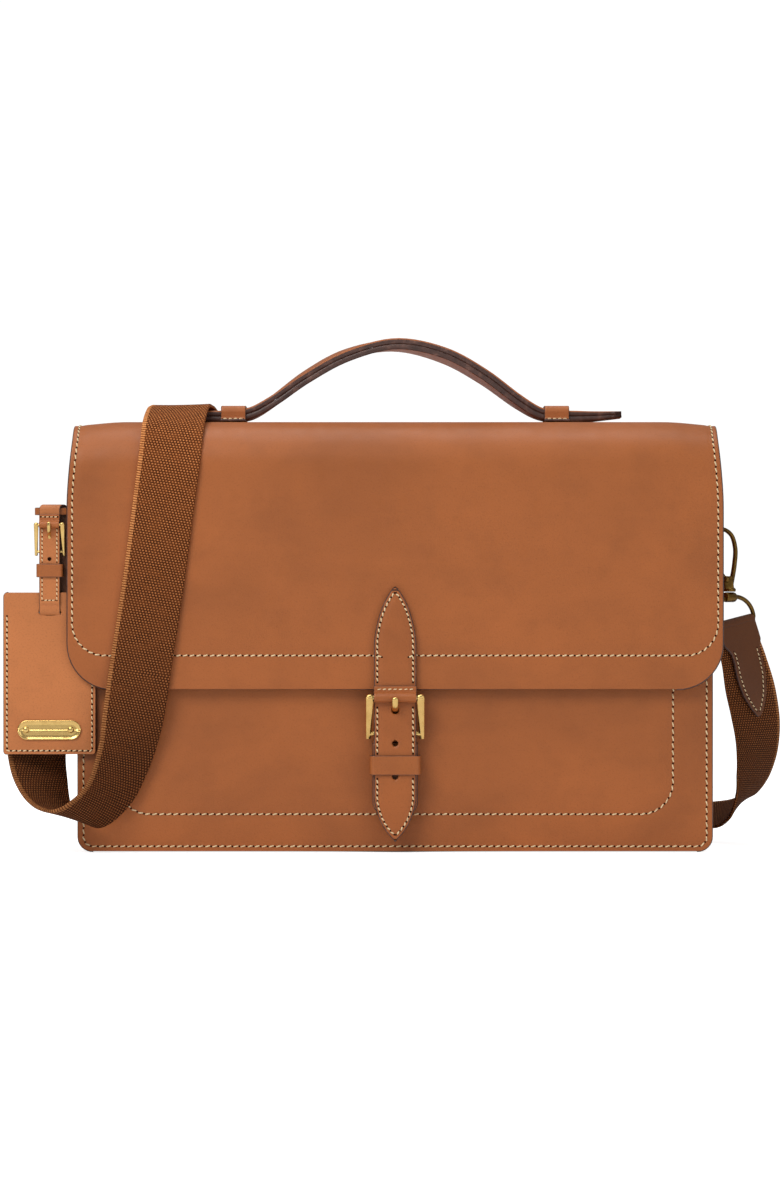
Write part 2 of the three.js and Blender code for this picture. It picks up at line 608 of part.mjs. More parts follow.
// Each row: the strap's centre, then the direction of its width.
const STRAP_RUN = [
  [[-216.7, 1.5, 133.4], [0.72, -0.67, -0.17]],
  [[-219.5, -2, 118], [0.79, -0.61, -0.08]],
  [[-223, -11, 98], [0.9, -0.4, 0]],
  [[-225.5, -22, 79], [0.97, -0.2, 0]],
  [[-224.1, -33, 59.1], [0.9, 0.43, -0.02]],
  [[-221.6, -39, 46.6], [0.83, 0.55, -0.04]],
  [[-217.4, -46, 35.6], [0.68, 0.73, -0.04]],
  [[-212.6, -54.5, 28.9], [0.54, 0.83, -0.09]],
  [[-207.6, -62.5, 25.7], [0.47, 0.87, -0.14]],
  [[-201, -64.5, 22.9], [0.53, 0.81, -0.24]],
  [[-194.3, -64.5, 22.7], [0.55, 0.75, -0.35]],
  [[-188.3, -64, 25.8], [0.56, 0.73, -0.4]],
  [[-182, -63, 31.2], [0.61, 0.7, -0.37]],
  [[-175.5, -62, 39.4], [0.7, 0.65, -0.3]],
  [[-169.8, -60.5, 52.8], [0.79, 0.57, -0.21]],
  [[-165.3, -59.3, 67.5], [0.87, 0.46, -0.16]],
  [[-162.3, -58, 84], [0.96, 0.22, -0.17]],
  [[-160, -57, 99], [0.98, 0.08, -0.17]],
  [[-158.3, -56.3, 112], [0.987, 0, -0.16]],
  [[-149.5, -55.6, 170], [0.987, 0, -0.16]],
  [[-142.3, -55.6, 226], [0.987, 0, -0.16]],
  [[-140, -56, 243], [0.987, 0.02, -0.14]],
  [[-138, -49.5, 264.5], [0.99, 0.1, -0.1]],
  [[-136, -27, 277], [0.99, 0.12, 0]],
  [[-134, 0, 279.4], [0.99, 0.12, 0]],
  [[-132, 27, 277], [0.99, 0.12, 0]],
  [[-130.5, 44.5, 268.5], [0.99, 0.11, 0.08]],
  [[-128, 48.6, 250], [0.98, 0, 0.18]],
  [[-121, 48.2, 220], [0.97, 0, 0.24]],
  [[-100, 48.4, 160], [0.92, 0, 0.38]],
  [[-62, 50, 98], [0.84, 0, 0.54]],
  [[-8, 53, 49], [0.6, 0, 0.8]],
  [[58, 56.5, 26], [0.2, -0.1, 0.97]],
  [[118, 60.5, 20.5], [0, -0.55, 0.83]],
  [[152, 66.5, 19.5], [0, -0.9, 0.42]],
  [[182, 70, 18.5], [-0.02, -1, -0.05]],
  [[207.7, 62, 17.2], [-0.09, -0.92, -0.37]],
  [[218.4, 49, 22.2], [-0.18, -0.95, -0.26]],
  [[226.1, 38, 32], [-0.4, -0.92, 0.01]],
  [[229.7, 29, 44.1], [-0.6, -0.8, 0.04]],
  [[231.3, 20, 56.9], [-0.71, -0.7, 0]],
  [[231.1, 13, 69.8], [-0.78, -0.62, -0.02]],
  [[229.5, 8, 82.1], [-0.84, -0.55, -0.04]],
  [[226.1, 4, 98.6], [-0.86, -0.51, -0.07]],
  [[221.5, 2, 118.6], [-0.78, -0.62, -0.1]],
  [[216.7, 1.5, 133.4], [-0.72, -0.67, -0.17]],
];

const RUN_CENTRES = new THREE.CatmullRomCurve3(STRAP_RUN.map(([c]) => new THREE.Vector3(...c)));
const RUN_WIDTHS = new THREE.CatmullRomCurve3(STRAP_RUN.map(([, a]) => new THREE.Vector3(...a)));

// Stations along the strap between two shares of its run.
function runStations(from, to, count, low, high, halfAt) {
  const stations = [];
  for (let i = 0; i <= count; i++) {
    const at = from + (to - from) * i / count;
    const across = RUN_WIDTHS.getPoint(at).normalize();
    stations.push({ centre: RUN_CENTRES.getPoint(at), across, half: halfAt(i / count), low, high });
  }
  return stations;
}

// A leather end: sewn to the strap's outer face, spear shaped, and rolled round the eye's bar.
function strapTab(side) {
  const half = WEBBING_WIDTH / 2 - 1.5;
  const reach = TAB_STEPS / RUN_STEPS;
  const pointed = (fromBar) => {
    const past = Math.max(fromBar - 0.25, 0) / 0.75;
    return Math.max(half * Math.sqrt(1 - past ** 1.6), 1.5);
  };
  const low = -WEBBING_THICKNESS / 2 - 4 * GAP;
  const high = low - TAB_THICKNESS;
  const middle = onEye(0, EYE_BAR_Z, side);
  const along = onEye(1, EYE_BAR_Z, side).sub(middle);
  const outward = new THREE.Vector3(side * Math.sin(EYE_TURN), -Math.cos(EYE_TURN), 0);
  const atBar = middle.clone().addScaledVector(outward, 0.45);
  const stations = side > 0
    ? runStations(1, 1 - reach, TAB_STEPS, low, high, pointed)
    : runStations(reach, 0, TAB_STEPS, low, high, (share) => pointed(1 - share));
  if (side > 0) stations.unshift({ ...stations[0], centre: atBar });
  else stations.push({ ...stations.at(-1), centre: atBar });
  const cylinder = (radius, length) => rod(
    middle.clone().addScaledVector(along, -length), middle.clone().addScaledVector(along, length), radius, 16);
  return cut(unite(strip(stations), cylinder(4.2, half)), cylinder(1.9, half + 10));
}

function addWebbing() {
  const low = -WEBBING_THICKNESS / 2;
  const flat = runStations(0, 1, RUN_STEPS, low, -low, () => WEBBING_WIDTH / 2);
  addPart('shoulder_webbing', strip(flat), COLOURS.webbing);
  for (const [name, side] of [['strap_tab_right', 1], ['strap_tab_left', -1]]) {
    addPart(name, strapTab(side), COLOURS.edge);
  }
}

// ---- luggage tag ----

function tagShape(inset) {
  const shape = roundedRect(TAG_LEFT + inset, TAG_RIGHT - inset, TAG_BOTTOM + inset, TAG_TOP - inset, 6, 14);
  const slot = roundedRect(TAG_STRAP_X - 8, TAG_STRAP_X + 8, 145, 150.6, 2.6);
  shape.holes.push(new THREE.Path(slot.getPoints(4)));
  return shape;
}

const TAG_MID = TAG_FRONT + TAG_LAYER;

function addTagBody() {
  addPart('tag_front', alongY(tagShape(0), TAG_FRONT, TAG_MID), COLOURS.leather);
  addPart('tag_back', alongY(tagShape(0), TAG_MID + GAP, TAG_MID + GAP + TAG_LAYER), COLOURS.leather);
  const plate = roundedRect(-234.6, -195.1, 70, 82.3, 6.1);
  for (const x of [-229.2, -201.4]) addHole(plate, x, 76.3, 1.3);
  addPart('tag_plate', alongY(plate, TAG_FRONT - GAP - 0.9, TAG_FRONT - GAP, 5), COLOURS.brass);
}

function addTagRivets() {
  for (const [name, x] of [['tag_rivet_left', -229.2], ['tag_rivet_right', -201.4]]) {
    const head = new THREE.Shape().absarc(x, 76.3, 2.1, 0, 2 * Math.PI);
    const top = TAG_FRONT - 2 * GAP - 0.9;
    addPart(name, alongY(head, top - 0.8, top, 5), COLOURS.brass);
  }
}

// The tag's own strap: a closed loop, down in front, through the tag's slot and up behind.
function addTagStrap() {
  const front = TAG_FRONT - GAP - TAG_STRAP_THICKNESS;
  const back = TAG_MID + GAP + TAG_LAYER + GAP;
  const wall = TAG_STRAP_THICKNESS;
  const outer = roundedRect(front, back + wall, TAG_STRAP_BOTTOM, TAG_STRAP_TOP, 1.5, 3.4);
  const inner = roundedRect(front + wall, back, TAG_STRAP_BOTTOM + wall, TAG_STRAP_TOP - wall, 0.5, 1.8);
  const hole = (z, halfHeight) => {
    const shape = new THREE.Shape().absellipse(TAG_STRAP_X, z, 1.3, halfHeight, 0, 2 * Math.PI);
    return alongY(shape, front - 1, front + wall + 0.5);
  };
  const loop = cut(
    alongX(outer, TAG_STRAP_X - TAG_STRAP_HALF, TAG_STRAP_X + TAG_STRAP_HALF, 4),
    alongX(inner, TAG_STRAP_X - 20, TAG_STRAP_X + 20, 4),
    hole(182.4, 1.3), hole(194.9, 3.6));
  addPart('tag_strap', loop, COLOURS.leather);

  const keeper = roundedRect(TAG_STRAP_X - 8.2, TAG_STRAP_X + 8.2, front - 1.6, back + wall + 1.6, 1.5);
  const room = roundedRect(TAG_STRAP_X - 6.9, TAG_STRAP_X + 6.9, front - 0.3, back + wall + 0.3, 0.6);
  addPart('tag_keeper', cut(alongZ(keeper, 171, 179.5, 3), alongZ(room, 160, 190, 3)), COLOURS.edge);
  addPart('tag_buckle_frame', buckleFrame(TAG_BUCKLE), COLOURS.bronze);
  addPart('tag_bar_wrap', barWrap(TAG_BUCKLE, front), COLOURS.leather);
  const line = [[-48.2, 188.6], [-48.2, 191.6], [-49.4, 194.8], [-51.6, 197.6], [-54.6, 199.9], [-56, 202.6], [-56, 205.4]];
  addPart('tag_prong', prong(TAG_BUCKLE, line, 0.75, 1.2, 1.8), COLOURS.bronze);
}

// A flat leather loop that hangs the tag's strap from the front of the left side ring.
function addTagLoop() {
  const corners = [[-221.6, -47.05], [-214.6, -47.05], [-207, -47.05], [-201.4, -45], [-199.3, -38], [-198.9, -28],
    [-198.9, -20], [-199.8, -16.2], [-202.6, -15.1], [-205.6, -16.4], [-206.7, -22], [-209.5, -32], [-214, -40.4],
    [-220.6, -41.9], [-223.6, -44.4]];
  const curve = new THREE.CatmullRomCurve3(corners.map(([x, y]) => new THREE.Vector3(x, y, 0)), true);
  const line = curve.getPoints(45).slice(0, -1);
  const bottom = TAG_STRAP_TOP - TAG_STRAP_THICKNESS - GAP - 4.8;
  const rings = line.map((point, i) => {
    const along = new THREE.Vector3().subVectors(line[(i + 1) % line.length], line.at(i - 1)).normalize();
    const side = new THREE.Vector3(along.y, -along.x, 0);
    return [[-0.7, 0], [0.7, 0], [0.7, 4.8], [-0.7, 4.8]].map(([out, up]) =>
      point.clone().addScaledVector(side, out).setZ(bottom + up));
  });
  addPart('tag_loop', skinRings(rings, true), COLOURS.leather);
}

addPanels();
addGusset();
addInside();
addFlap();
addClosureStrap();
addChape();
addStrapKeeper();
addBuckle();
addHandle();
addHandleKeeper('handle_keeper_left', -KEEPER_X);
addHandleKeeper('handle_keeper_right', KEEPER_X);
addSideHardware();
addWebbing();
addTagBody();
addTagRivets();
addTagStrap();
addTagLoop();

export default parts;
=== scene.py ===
"""The looks of a leather briefcase with a flap, an arched handle, a buckled closure strap,
a hooked shoulder strap and a luggage tag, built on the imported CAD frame. Metres, +Z up, front toward -Y."""

import math

import bmesh
import bpy
import numpy as np
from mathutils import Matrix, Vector


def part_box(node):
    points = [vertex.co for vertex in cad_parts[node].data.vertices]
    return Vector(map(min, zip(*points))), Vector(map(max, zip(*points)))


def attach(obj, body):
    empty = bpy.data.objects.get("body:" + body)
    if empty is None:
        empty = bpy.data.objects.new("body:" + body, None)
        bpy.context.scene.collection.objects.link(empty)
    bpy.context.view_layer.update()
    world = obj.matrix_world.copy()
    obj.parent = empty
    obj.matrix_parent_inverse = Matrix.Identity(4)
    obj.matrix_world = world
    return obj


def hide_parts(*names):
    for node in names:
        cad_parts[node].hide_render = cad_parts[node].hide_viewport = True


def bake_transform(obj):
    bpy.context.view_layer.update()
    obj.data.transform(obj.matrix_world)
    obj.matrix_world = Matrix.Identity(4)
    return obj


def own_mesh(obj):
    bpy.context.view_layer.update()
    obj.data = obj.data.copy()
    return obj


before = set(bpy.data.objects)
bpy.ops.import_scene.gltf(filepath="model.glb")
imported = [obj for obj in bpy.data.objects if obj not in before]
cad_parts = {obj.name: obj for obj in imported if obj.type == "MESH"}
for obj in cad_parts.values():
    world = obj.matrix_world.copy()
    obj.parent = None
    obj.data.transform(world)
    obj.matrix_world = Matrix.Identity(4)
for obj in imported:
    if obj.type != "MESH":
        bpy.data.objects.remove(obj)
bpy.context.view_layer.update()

MM = 0.001
CAMERA = (-0.0032, -2.4, 0.1582)
FLOOR_GLOW = 0.8
WORLD_LIGHT = 0.34
WORLD_SEEN = 1.05

# Colours, as the eye sees them, 0 to 255
SADDLE = (164, 92, 43)
SADDLE_DARK = (108, 57, 24)
EDGE_PAINT = (78, 52, 45)
THREAD = (238, 215, 172)
HOLE = (34, 19, 12)
EDGE_RUBBED = (116, 82, 70)
THREAD_PLY = (190, 156, 108)
THREAD_WORN = (203, 172, 122)
HOLE_SIDE = (44, 25, 15)
SUEDE = (137, 101, 70)
SADDLE_LIGHT = (190, 115, 64)
TAB = (98, 52, 17)
TAB_DARK = (56, 27, 9)
KEEPER = (164, 93, 44)
KEEPER_DARK = (104, 56, 28)
WEB_DARK = (74, 38, 15)
WEB_MID = (174, 97, 48)
WEB_GOLD = (240, 163, 100)
BRASS = (228, 193, 122)
BRASS_DULL = (190, 146, 78)
BRASS_AGED = (122, 92, 44)
BRASS_PATINA = (62, 44, 22)
BOARD = (128, 112, 92)


def box_of(name):
    """The low and high corners of a CAD node's box, in millimetres."""
    return [np.array(corner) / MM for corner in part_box(name)]


# The hide that makes the flap and, below the hinge, the back panel: its section in Y and Z
HIDE_FRONT, HIDE_EDGE = box_of("flap")[0][1:]
HIDE_TOP = box_of("flap")[1][2]
HIDE_BACK = box_of("back_panel")[1][1]
FRONT_BEND = 28.0
BACK_BEND = 13.0
FLAP_HALF = box_of("flap")[1][0]
FLAP_TOP_HALF = FLAP_HALF - 3.0
FLAP_THICKNESS = 3.2
FLAP_CORNER = 28.0
PANEL_HALF, _, PANEL_TOP = box_of("front_panel")[1]
PANEL_THICKNESS = 2.4
PANEL_CORNER = 9.0
GUSSET_PULL = 3.2
SEAM_Y = 22.0

# The webbing's weave: one float's width and length, and half of the width between the ribbed edges
FLOAT_WIDE = 1.95
FLOAT_LONG = 1.55
PLAIN_HALF = 18.1

# Stitching
PITCH = 4.2
STRAP_PITCH = 3.4
THREAD_RADIUS = 0.46


# ---- small geometry tools; lengths are in millimetres until a shell is made ----


def smooth(value, low, high):
    """0 below low, 1 above high, and smooth between."""
    t = np.clip((np.asarray(value, float) - low) / (high - low), 0, 1)
    return t * t * (3 - 2 * t)


def unit(vectors):
    """The vectors at length 1."""
    vectors = np.asarray(vectors, float)
    return vectors / np.maximum(np.linalg.norm(vectors, axis=-1, keepdims=True), 1e-12)


def spline(points, shares, closed=False):
    """Points on a centripetal Catmull-Rom spline, at shares 0 to 1 of its corners."""
    points = np.asarray(points, float)
    count = len(points)
    pieces = count if closed else count - 1
    place = np.clip(np.asarray(shares, float) * pieces, 0, pieces - 1e-9)
    first = place.astype(int)
    t = (place - first)[:, None]
    if closed:
        p = [points[(first + k - 1) % count] for k in range(4)]
    else:
        ends = np.vstack([2 * points[0] - points[1], points, 2 * points[-1] - points[-2]])
        p = [ends[first + k] for k in range(4)]
    gap = [np.linalg.norm(p[k + 1] - p[k], axis=1, keepdims=True) ** 0.5 for k in range(3)]
    gap[1] = np.where(gap[1] < 1e-4, 1.0, gap[1])
    gap[0] = np.where(gap[0] < 1e-4, gap[1], gap[0])
    gap[2] = np.where(gap[2] < 1e-4, gap[1], gap[2])
    leave = gap[1] * ((p[1] - p[0]) / gap[0] - (p[2] - p[0]) / (gap[0] + gap[1]) + (p[2] - p[1]) / gap[1])
    reach = gap[1] * ((p[2] - p[1]) / gap[1] - (p[3] - p[1]) / (gap[1] + gap[2]) + (p[3] - p[2]) / gap[2])
    return (
        (2 * t**3 - 3 * t**2 + 1) * p[1]
        + (t**3 - 2 * t**2 + t) * leave
        + (3 * t**2 - 2 * t**3) * p[2]
        + (t**3 - t**2) * reach
    )


class Profile:
    """A path in a plane made of lines and arcs. Its outward side is on the left."""

    def __init__(self, start, heading, *moves):
        """Each move is (length, turn in degrees). A move with a turn is an arc of that length."""
        place = np.array(start, float)
        points, angles, lengths = [place], [heading], [0.0]
        for length, turn in moves:
            steps = max(2, math.ceil(length / 0.25))
            for _ in range(steps):
                middle = math.radians(heading + turn / steps / 2)
                place = place + length / steps * np.array([math.cos(middle), math.sin(middle)])
                heading += turn / steps
                points.append(place)
                angles.append(heading)
                lengths.append(lengths[-1] + length / steps)
        self.points = np.array(points)
        self.angles = np.array(angles)
        self.lengths = np.array(lengths)
        self.length = lengths[-1]

    def at(self, s):
        """(points, outward directions) at distances s along the path."""
        s = np.asarray(s, float)
        point = np.stack([np.interp(s, self.lengths, self.points[:, k]) for k in (0, 1)], -1)
        out = np.radians(np.interp(s, self.lengths, self.angles) + 90)
        return point, np.stack([np.cos(out), np.sin(out)], -1)


def columns(half, near, step):
    """Shares from -1 to 1 across a width of twice half, closer together near its edges."""
    edge = half - np.array(near, float)
    count = max(3, 1 + math.ceil(2 * edge[-1] / step))
    middle = np.linspace(-edge[-1], edge[-1], count)[1:-1]
    return np.concatenate([-edge, middle, edge[::-1]]) / half


def corner_rows(radius, count):
    """Distances from an edge at which a rounded corner's rows lie."""
    return radius * (1 - np.cos(np.linspace(0, np.pi / 2, count)))


def corner_half(distance, half, radius):
    """Half of the width at a distance from the edge, with rounded corners."""
    inside = np.clip(radius - np.asarray(distance, float), 0, radius)
    return half - radius + np.sqrt(radius**2 - inside**2)


class Shell:
    """Corners, faces, each face's material, each corner's place on the flat piece, and sharp edges."""

    def __init__(self, corners, faces, materials, flat=None, sharp=()):
        self.corners = np.asarray(corners, float).reshape(-1, 3)
        self.faces = faces
        self.materials = materials
        self.flat = np.zeros((len(self.corners), 2)) if flat is None else np.asarray(flat).reshape(-1, 2)
        self.sharp = list(sharp)


def mirrored(shell):
    """The same shell on the other side of the bag."""
    faces = [face[::-1] for face in shell.faces]
    return Shell(shell.corners * (-1, 1, 1), faces, shell.materials, shell.flat, shell.sharp)


def ring_faces(rings, sides, closed):
    """Quads between rings of corners that follow each other."""
    index = np.arange(rings * sides).reshape(rings, sides)
    this = index if closed else index[:-1]
    following = np.roll(index, -1, 0) if closed else index[1:]
    quads = np.stack([this, np.roll(this, -1, 1), np.roll(following, -1, 1), following], -1)
    return quads.reshape(-1, 4).tolist()


def surface_normal(grid, closed):
    """Directions out of a grid of points, to the right of its rows and above its columns."""
    if closed:
        along = np.roll(grid, -1, 0) - np.roll(grid, 1, 0)
    else:
        along = np.gradient(grid, axis=0)
    return unit(np.cross(np.gradient(grid, axis=1), along))


def slab(grid, thickness, closed=False, flush=(), bulge=0.5, presses=(), turns=4, bare=0):
    """A sheet of leather or webbing round a grid of points on its middle surface.

    Its faces use materials 0 in front, 1 at the rounded edge and 2 behind. flush names the ends,
    "start" or "end", that are cut square to meet another piece. Each press is (line, depth, width)
    that sinks the front. bare is how many rows of each edge, next to the front, keep its material."""
    grid = np.asarray(grid, float)
    rows, cols = grid.shape[:2]
    normal = surface_normal(grid, closed)
    half = np.array(np.broadcast_to(np.asarray(thickness, float) / 2, (rows, cols)))
    middle = cols // 2
    across = np.linalg.norm(np.diff(grid, axis=1), axis=2)
    u = np.concatenate([np.zeros((rows, 1)), np.cumsum(across, 1)], 1)
    u = u - u[:, middle : middle + 1]
    steps = np.linalg.norm(np.diff(grid[:, middle], axis=0), axis=1)
    v = np.concatenate([[0], np.cumsum(steps)])
    sink = np.zeros((rows, cols))
    for line, depth, width in presses:
        gap = np.array([np.linalg.norm(row[:, None] - line[None], axis=2).min(1) for row in grid])
        sink = np.maximum(sink, depth * np.exp(-((np.maximum(gap - float(np.median(half)), 0) / width) ** 2)))
    if not closed:
        for name, end, order in (("start", 0, 1), ("end", rows - 1, -1)):
            if name in flush:
                continue
            out = unit(grid[end] - grid[end + order])
            angles = np.radians([30, 60, 84])
            more = [grid[end] + out * (half[end] * bulge * math.sin(a))[:, None] for a in angles]
            thin = [half[end] * math.cos(a) for a in angles]
            if end == 0:
                grid, half = np.concatenate([more[::-1], grid]), np.concatenate([thin[::-1], half])
            else:
                grid, half = np.concatenate([grid, more]), np.concatenate([half, thin])
            pad = ((3, 0), (0, 0)) if end == 0 else ((0, 3), (0, 0))
            normal = np.pad(normal, pad + ((0, 0),), mode="edge")
            u, sink = np.pad(u, pad, mode="edge"), np.pad(sink, pad)
            v = np.pad(v, pad[0], mode="edge")
            rows += 3
    first = 3 if not closed and "start" not in flush else 0
    last = rows - (3 if not closed and "end" not in flush else 0)

    def side(column, inner):
        core = grid[first:last, column]
        along = np.roll(core, -1, 0) - np.roll(core, 1, 0) if closed else np.gradient(core, axis=0)
        out = unit(np.cross(along, normal[first:last, column]))
        out = out * np.sign(np.sum(out * (core - grid[first:last, inner]), 1, keepdims=True))
        out = np.pad(out, ((first, rows - last), (0, 0)), mode="edge")
        turn = np.linspace(0, np.pi, turns + 1)[1:-1]
        reach = half[:, column, None, None]
        up = normal[:, column, None] * np.cos(turn)[None, :, None]
        return grid[:, column, None] + reach * (up + out[:, None] * bulge * np.sin(turn)[None, :, None])

    front = grid + normal * (half - sink)[..., None]
    back = grid - normal * half[..., None]
    right = side(cols - 1, cols - 2)
    left = side(0, 1)
    corners = np.concatenate([front, right, back[:, ::-1], left[:, ::-1]], 1)
    rim = np.linspace(0, 1, turns + 1)[1:-1][None] * 2 * half[:, -1:]
    flat_u = np.concatenate([u, u[:, -1:] + rim, u[:, ::-1], u[:, :1] - rim[:, ::-1]], 1)
    flat_v = np.repeat(v[:, None], flat_u.shape[1], 1)
    sides = corners.shape[1]
    rim_kinds = [0] * bare + [1] * (turns - bare)
    kinds = np.array([0] * (cols - 1) + rim_kinds + [2] * (cols - 1) + rim_kinds[::-1])
    count = rows if closed else rows - 1
    materials = np.tile(kinds, (count, 1))
    if not closed:
        materials[:first] = 1
        materials[last - 1 :] = 1
    faces = ring_faces(rows, sides, closed)
    materials = materials.reshape(-1).tolist()
    sharp = []
    if not closed:
        for name, end in (("start", 0), ("end", rows - 1)):
            base = end * sides
            behind = base + 2 * cols + turns - 2
            for j in range(cols - 1):
                faces.append([base + j, base + j + 1, behind - 1 - j, behind - j])
            faces.append([base + cols - 1 + k for k in range(turns + 1)])
            faces.append([base + (2 * cols + turns - 2 + k) % sides for k in range(turns + 1)])
            materials += [1] * (cols + 1)
            if name in flush:
                sharp += [(base + k, base + (k + 1) % sides) for k in range(sides)]
    return Shell(corners * MM, faces, materials, np.stack([flat_u, flat_v], -1) * MM, sharp)


def tube(line, normal, wide, thick, closed=False, power=2.0, sides=16, square=False):
    """A bar along a line bent in one plane: half sizes wide in the plane and thick along its normal."""
    line = np.asarray(line, float)
    count = len(line)
    wide = np.array(np.broadcast_to(np.asarray(wide, float), (count,)))
    thick = np.array(np.broadcast_to(np.asarray(thick, float), (count,)))
    if closed:
        along = unit(np.roll(line, -1, 0) - np.roll(line, 1, 0))
    else:
        along = unit(np.gradient(line, axis=0))
        angles = np.radians([25, 50, 70, 86])
        shrink = np.cos(angles) if not square else np.array([0.97, 0.9, 0.5, 0.1])
        push = np.sin(angles) if not square else np.array([0.1, 0.16, 0.18, 0.18])
        head = [line[0] - along[0] * p * min(wide[0], thick[0]) for p in push[::-1]]
        tail = [line[-1] + along[-1] * p * min(wide[-1], thick[-1]) for p in push]
        line = np.concatenate([head, line, tail])
        wide = np.concatenate([wide[0] * shrink[::-1], wide, wide[-1] * shrink])
        thick = np.concatenate([thick[0] * shrink[::-1], thick, thick[-1] * shrink])
        along = np.pad(along, ((4, 4), (0, 0)), mode="edge")
    normal = unit(normal)
    side = unit(np.cross(normal, along))
    turn = (np.arange(sides) + 0.5) * 2 * np.pi / sides
    cosine = np.sign(np.cos(turn)) * np.abs(np.cos(turn)) ** (2 / power)
    sine = np.sign(np.sin(turn)) * np.abs(np.sin(turn)) ** (2 / power)
    corners = (
        line[:, None]
        + side[:, None] * (wide[:, None] * cosine)[..., None]
        + normal * (thick[:, None] * sine)[..., None]
    )
    if not closed:
        return capped(corners)
    faces = ring_faces(len(line), sides, True)
    return Shell(corners * MM, faces, [0] * len(faces))


def capped(rings):
    """A shell through rings of corners, closed at both ends."""
    sides = len(rings[0])
    faces = ring_faces(len(rings), sides, False)
    faces.append(list(range(sides)))
    faces.append([(len(rings) - 1) * sides + k for k in range(sides)])
    return Shell(np.array(rings) * MM, faces, [0] * len(faces))


def turned(centre, axis, outline, sides=28):
    """A turned piece: outline is pairs of distance along the axis and radius."""
    centre, axis = np.asarray(centre, float), unit(axis)
    first = unit(np.cross(axis, (0.31, 0.87, 0.38)))
    second = np.cross(axis, first)
    turn = np.arange(sides) * 2 * np.pi / sides
    rim = np.cos(turn)[:, None] * first + np.sin(turn)[:, None] * second
    return capped([centre + axis * distance + rim * max(radius, 0.02) for distance, radius in outline])


def resample(line, pitch):
    """Points a pitch apart along a line of points."""
    line = np.asarray(line, float)
    steps = np.linalg.norm(np.diff(line, axis=0), axis=1)
    lengths = np.concatenate([[0], np.cumsum(steps)])
    count = max(1, round(lengths[-1] / pitch))
    s = np.linspace(0, lengths[-1], 2 * count + 1)
    return np.stack([np.interp(s, lengths, line[:, k]) for k in range(3)], -1)


def stitching(line, normals, pitch=PITCH, slant=16.0, radius=THREAD_RADIUS, hole=0.62):
    """Stitches along a line on a surface, of material 0, with needle holes between them, of material 1."""
    line = np.asarray(line, float)
    if np.ndim(normals) == 1:
        normals = np.broadcast_to(np.asarray(normals, float), line.shape)
    points = resample(line, pitch)
    steps = np.linalg.norm(np.diff(line, axis=0), axis=1)
    lengths = np.concatenate([[0], np.cumsum(steps)])
    s = np.linspace(0, lengths[-1], len(points))
    up = unit(np.stack([np.interp(s, lengths, normals[:, k]) for k in range(3)], -1))
    along = unit(np.gradient(points, axis=0))
    side = unit(np.cross(up, along))
    share = np.array([-1, -0.92, -0.7, 0, 0.7, 0.92, 1])
    girth = np.array([0.25, 0.62, 0.92, 1, 0.92, 0.62, 0.25])
    rise = np.array([-0.75, -0.35, 0.1, 0.34, 0.1, -0.35, -0.75])
    turn = np.arange(6) * np.pi / 3
    tilt = math.radians(slant)
    reach = 0.36 * pitch
    ahead = share[:, None] * reach
    girth = girth[:, None] * radius
    forward = ahead * math.cos(tilt) - math.sin(tilt) * np.cos(turn) * girth
    sideways = ahead * math.sin(tilt) + math.cos(tilt) * np.cos(turn) * girth
    above = rise[:, None] * radius + np.sin(turn) * girth * 0.85
    local = np.stack([forward, sideways, above], -1).reshape(-1, 3)
    one = ring_faces(7, 6, False) + [list(range(6)), [36 + k for k in range(6)]]
    corners, faces, materials = [], [], []
    for k in range(1, len(points), 2):
        base = 42 * len(corners)
        corners.append(points[k] + local @ np.stack([along[k], side[k], up[k]]))
        faces += [[base + n for n in face] for face in one]
        materials += [0] * len(one)
    corners = np.concatenate(corners)
    ring = np.arange(8) * np.pi / 4
    dome = [(1.0, -0.5), (0.95, 0.04), (0.5, 0.09)]
    for k in range(0, len(points), 2):
        base = len(corners)
        rim = np.cos(ring)[:, None] * along[k] + np.sin(ring)[:, None] * side[k]
        rings = [points[k] + hole * r * rim + up[k] * h for r, h in dome]
        corners = np.concatenate([corners] + rings)
        more = ring_faces(3, 8, False) + [list(range(8)), [16 + n for n in range(8)]]
        faces += [[base + n for n in face] for face in more]
        materials += [1] * len(more)
    return Shell(corners * MM, faces, materials)


def build(name, shells, materials, shift=None):
    """One mesh object from shells, with a map of the flat piece in metres. A shift makes pieces differ."""
    corners, faces, kinds, flat, sharp = [], [], [], [], []
    base = 0
    for shell in shells:
        corners.append(shell.corners)
        flat.append(shell.flat)
        faces += [[base + n for n in face] for face in shell.faces]
        sharp += [(base + a, base + b) for a, b in shell.sharp]
        kinds += shell.materials
        base += len(shell.corners)
    corners, flat = np.concatenate(corners), np.concatenate(flat)
    mesh = bpy.data.meshes.new(name)
    mesh.from_pydata(corners.tolist(), [], faces)
    for material in materials:
        mesh.materials.append(material)
    mesh.polygons.foreach_set("material_index", np.minimum(kinds, len(materials) - 1))
    layer = mesh.uv_layers.new(name="flat")
    loops = np.zeros(len(mesh.loops), int)
    mesh.loops.foreach_get("vertex_index", loops)
    if shift is None:
        shift = (sum(map(ord, name)) % 37) * 0.061
    layer.data.foreach_set("uv", (flat[loops] + shift).ravel())
    mesh.shade_smooth()
    if sharp:
        wanted = {tuple(sorted(pair)) for pair in sharp}
        for edge in mesh.edges:
            edge.use_edge_sharp = tuple(sorted(edge.vertices)) in wanted
    tidy = bmesh.new()
    tidy.from_mesh(mesh)
    bmesh.ops.recalc_face_normals(tidy, faces=tidy.faces)
    tidy.to_mesh(mesh)
    tidy.free()
    piece = bpy.data.objects.new(name, mesh)
    bpy.context.scene.collection.objects.link(piece)
    return piece


def place(name, body, slot, shells, materials, nodes=(), shift=None):
    """A piece that rides on a body and stands for CAD nodes. slot is not used."""
    piece = build(name, shells, materials, shift)
    if body:
        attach(piece, body)
    if nodes:
        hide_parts(*nodes)
    return piece


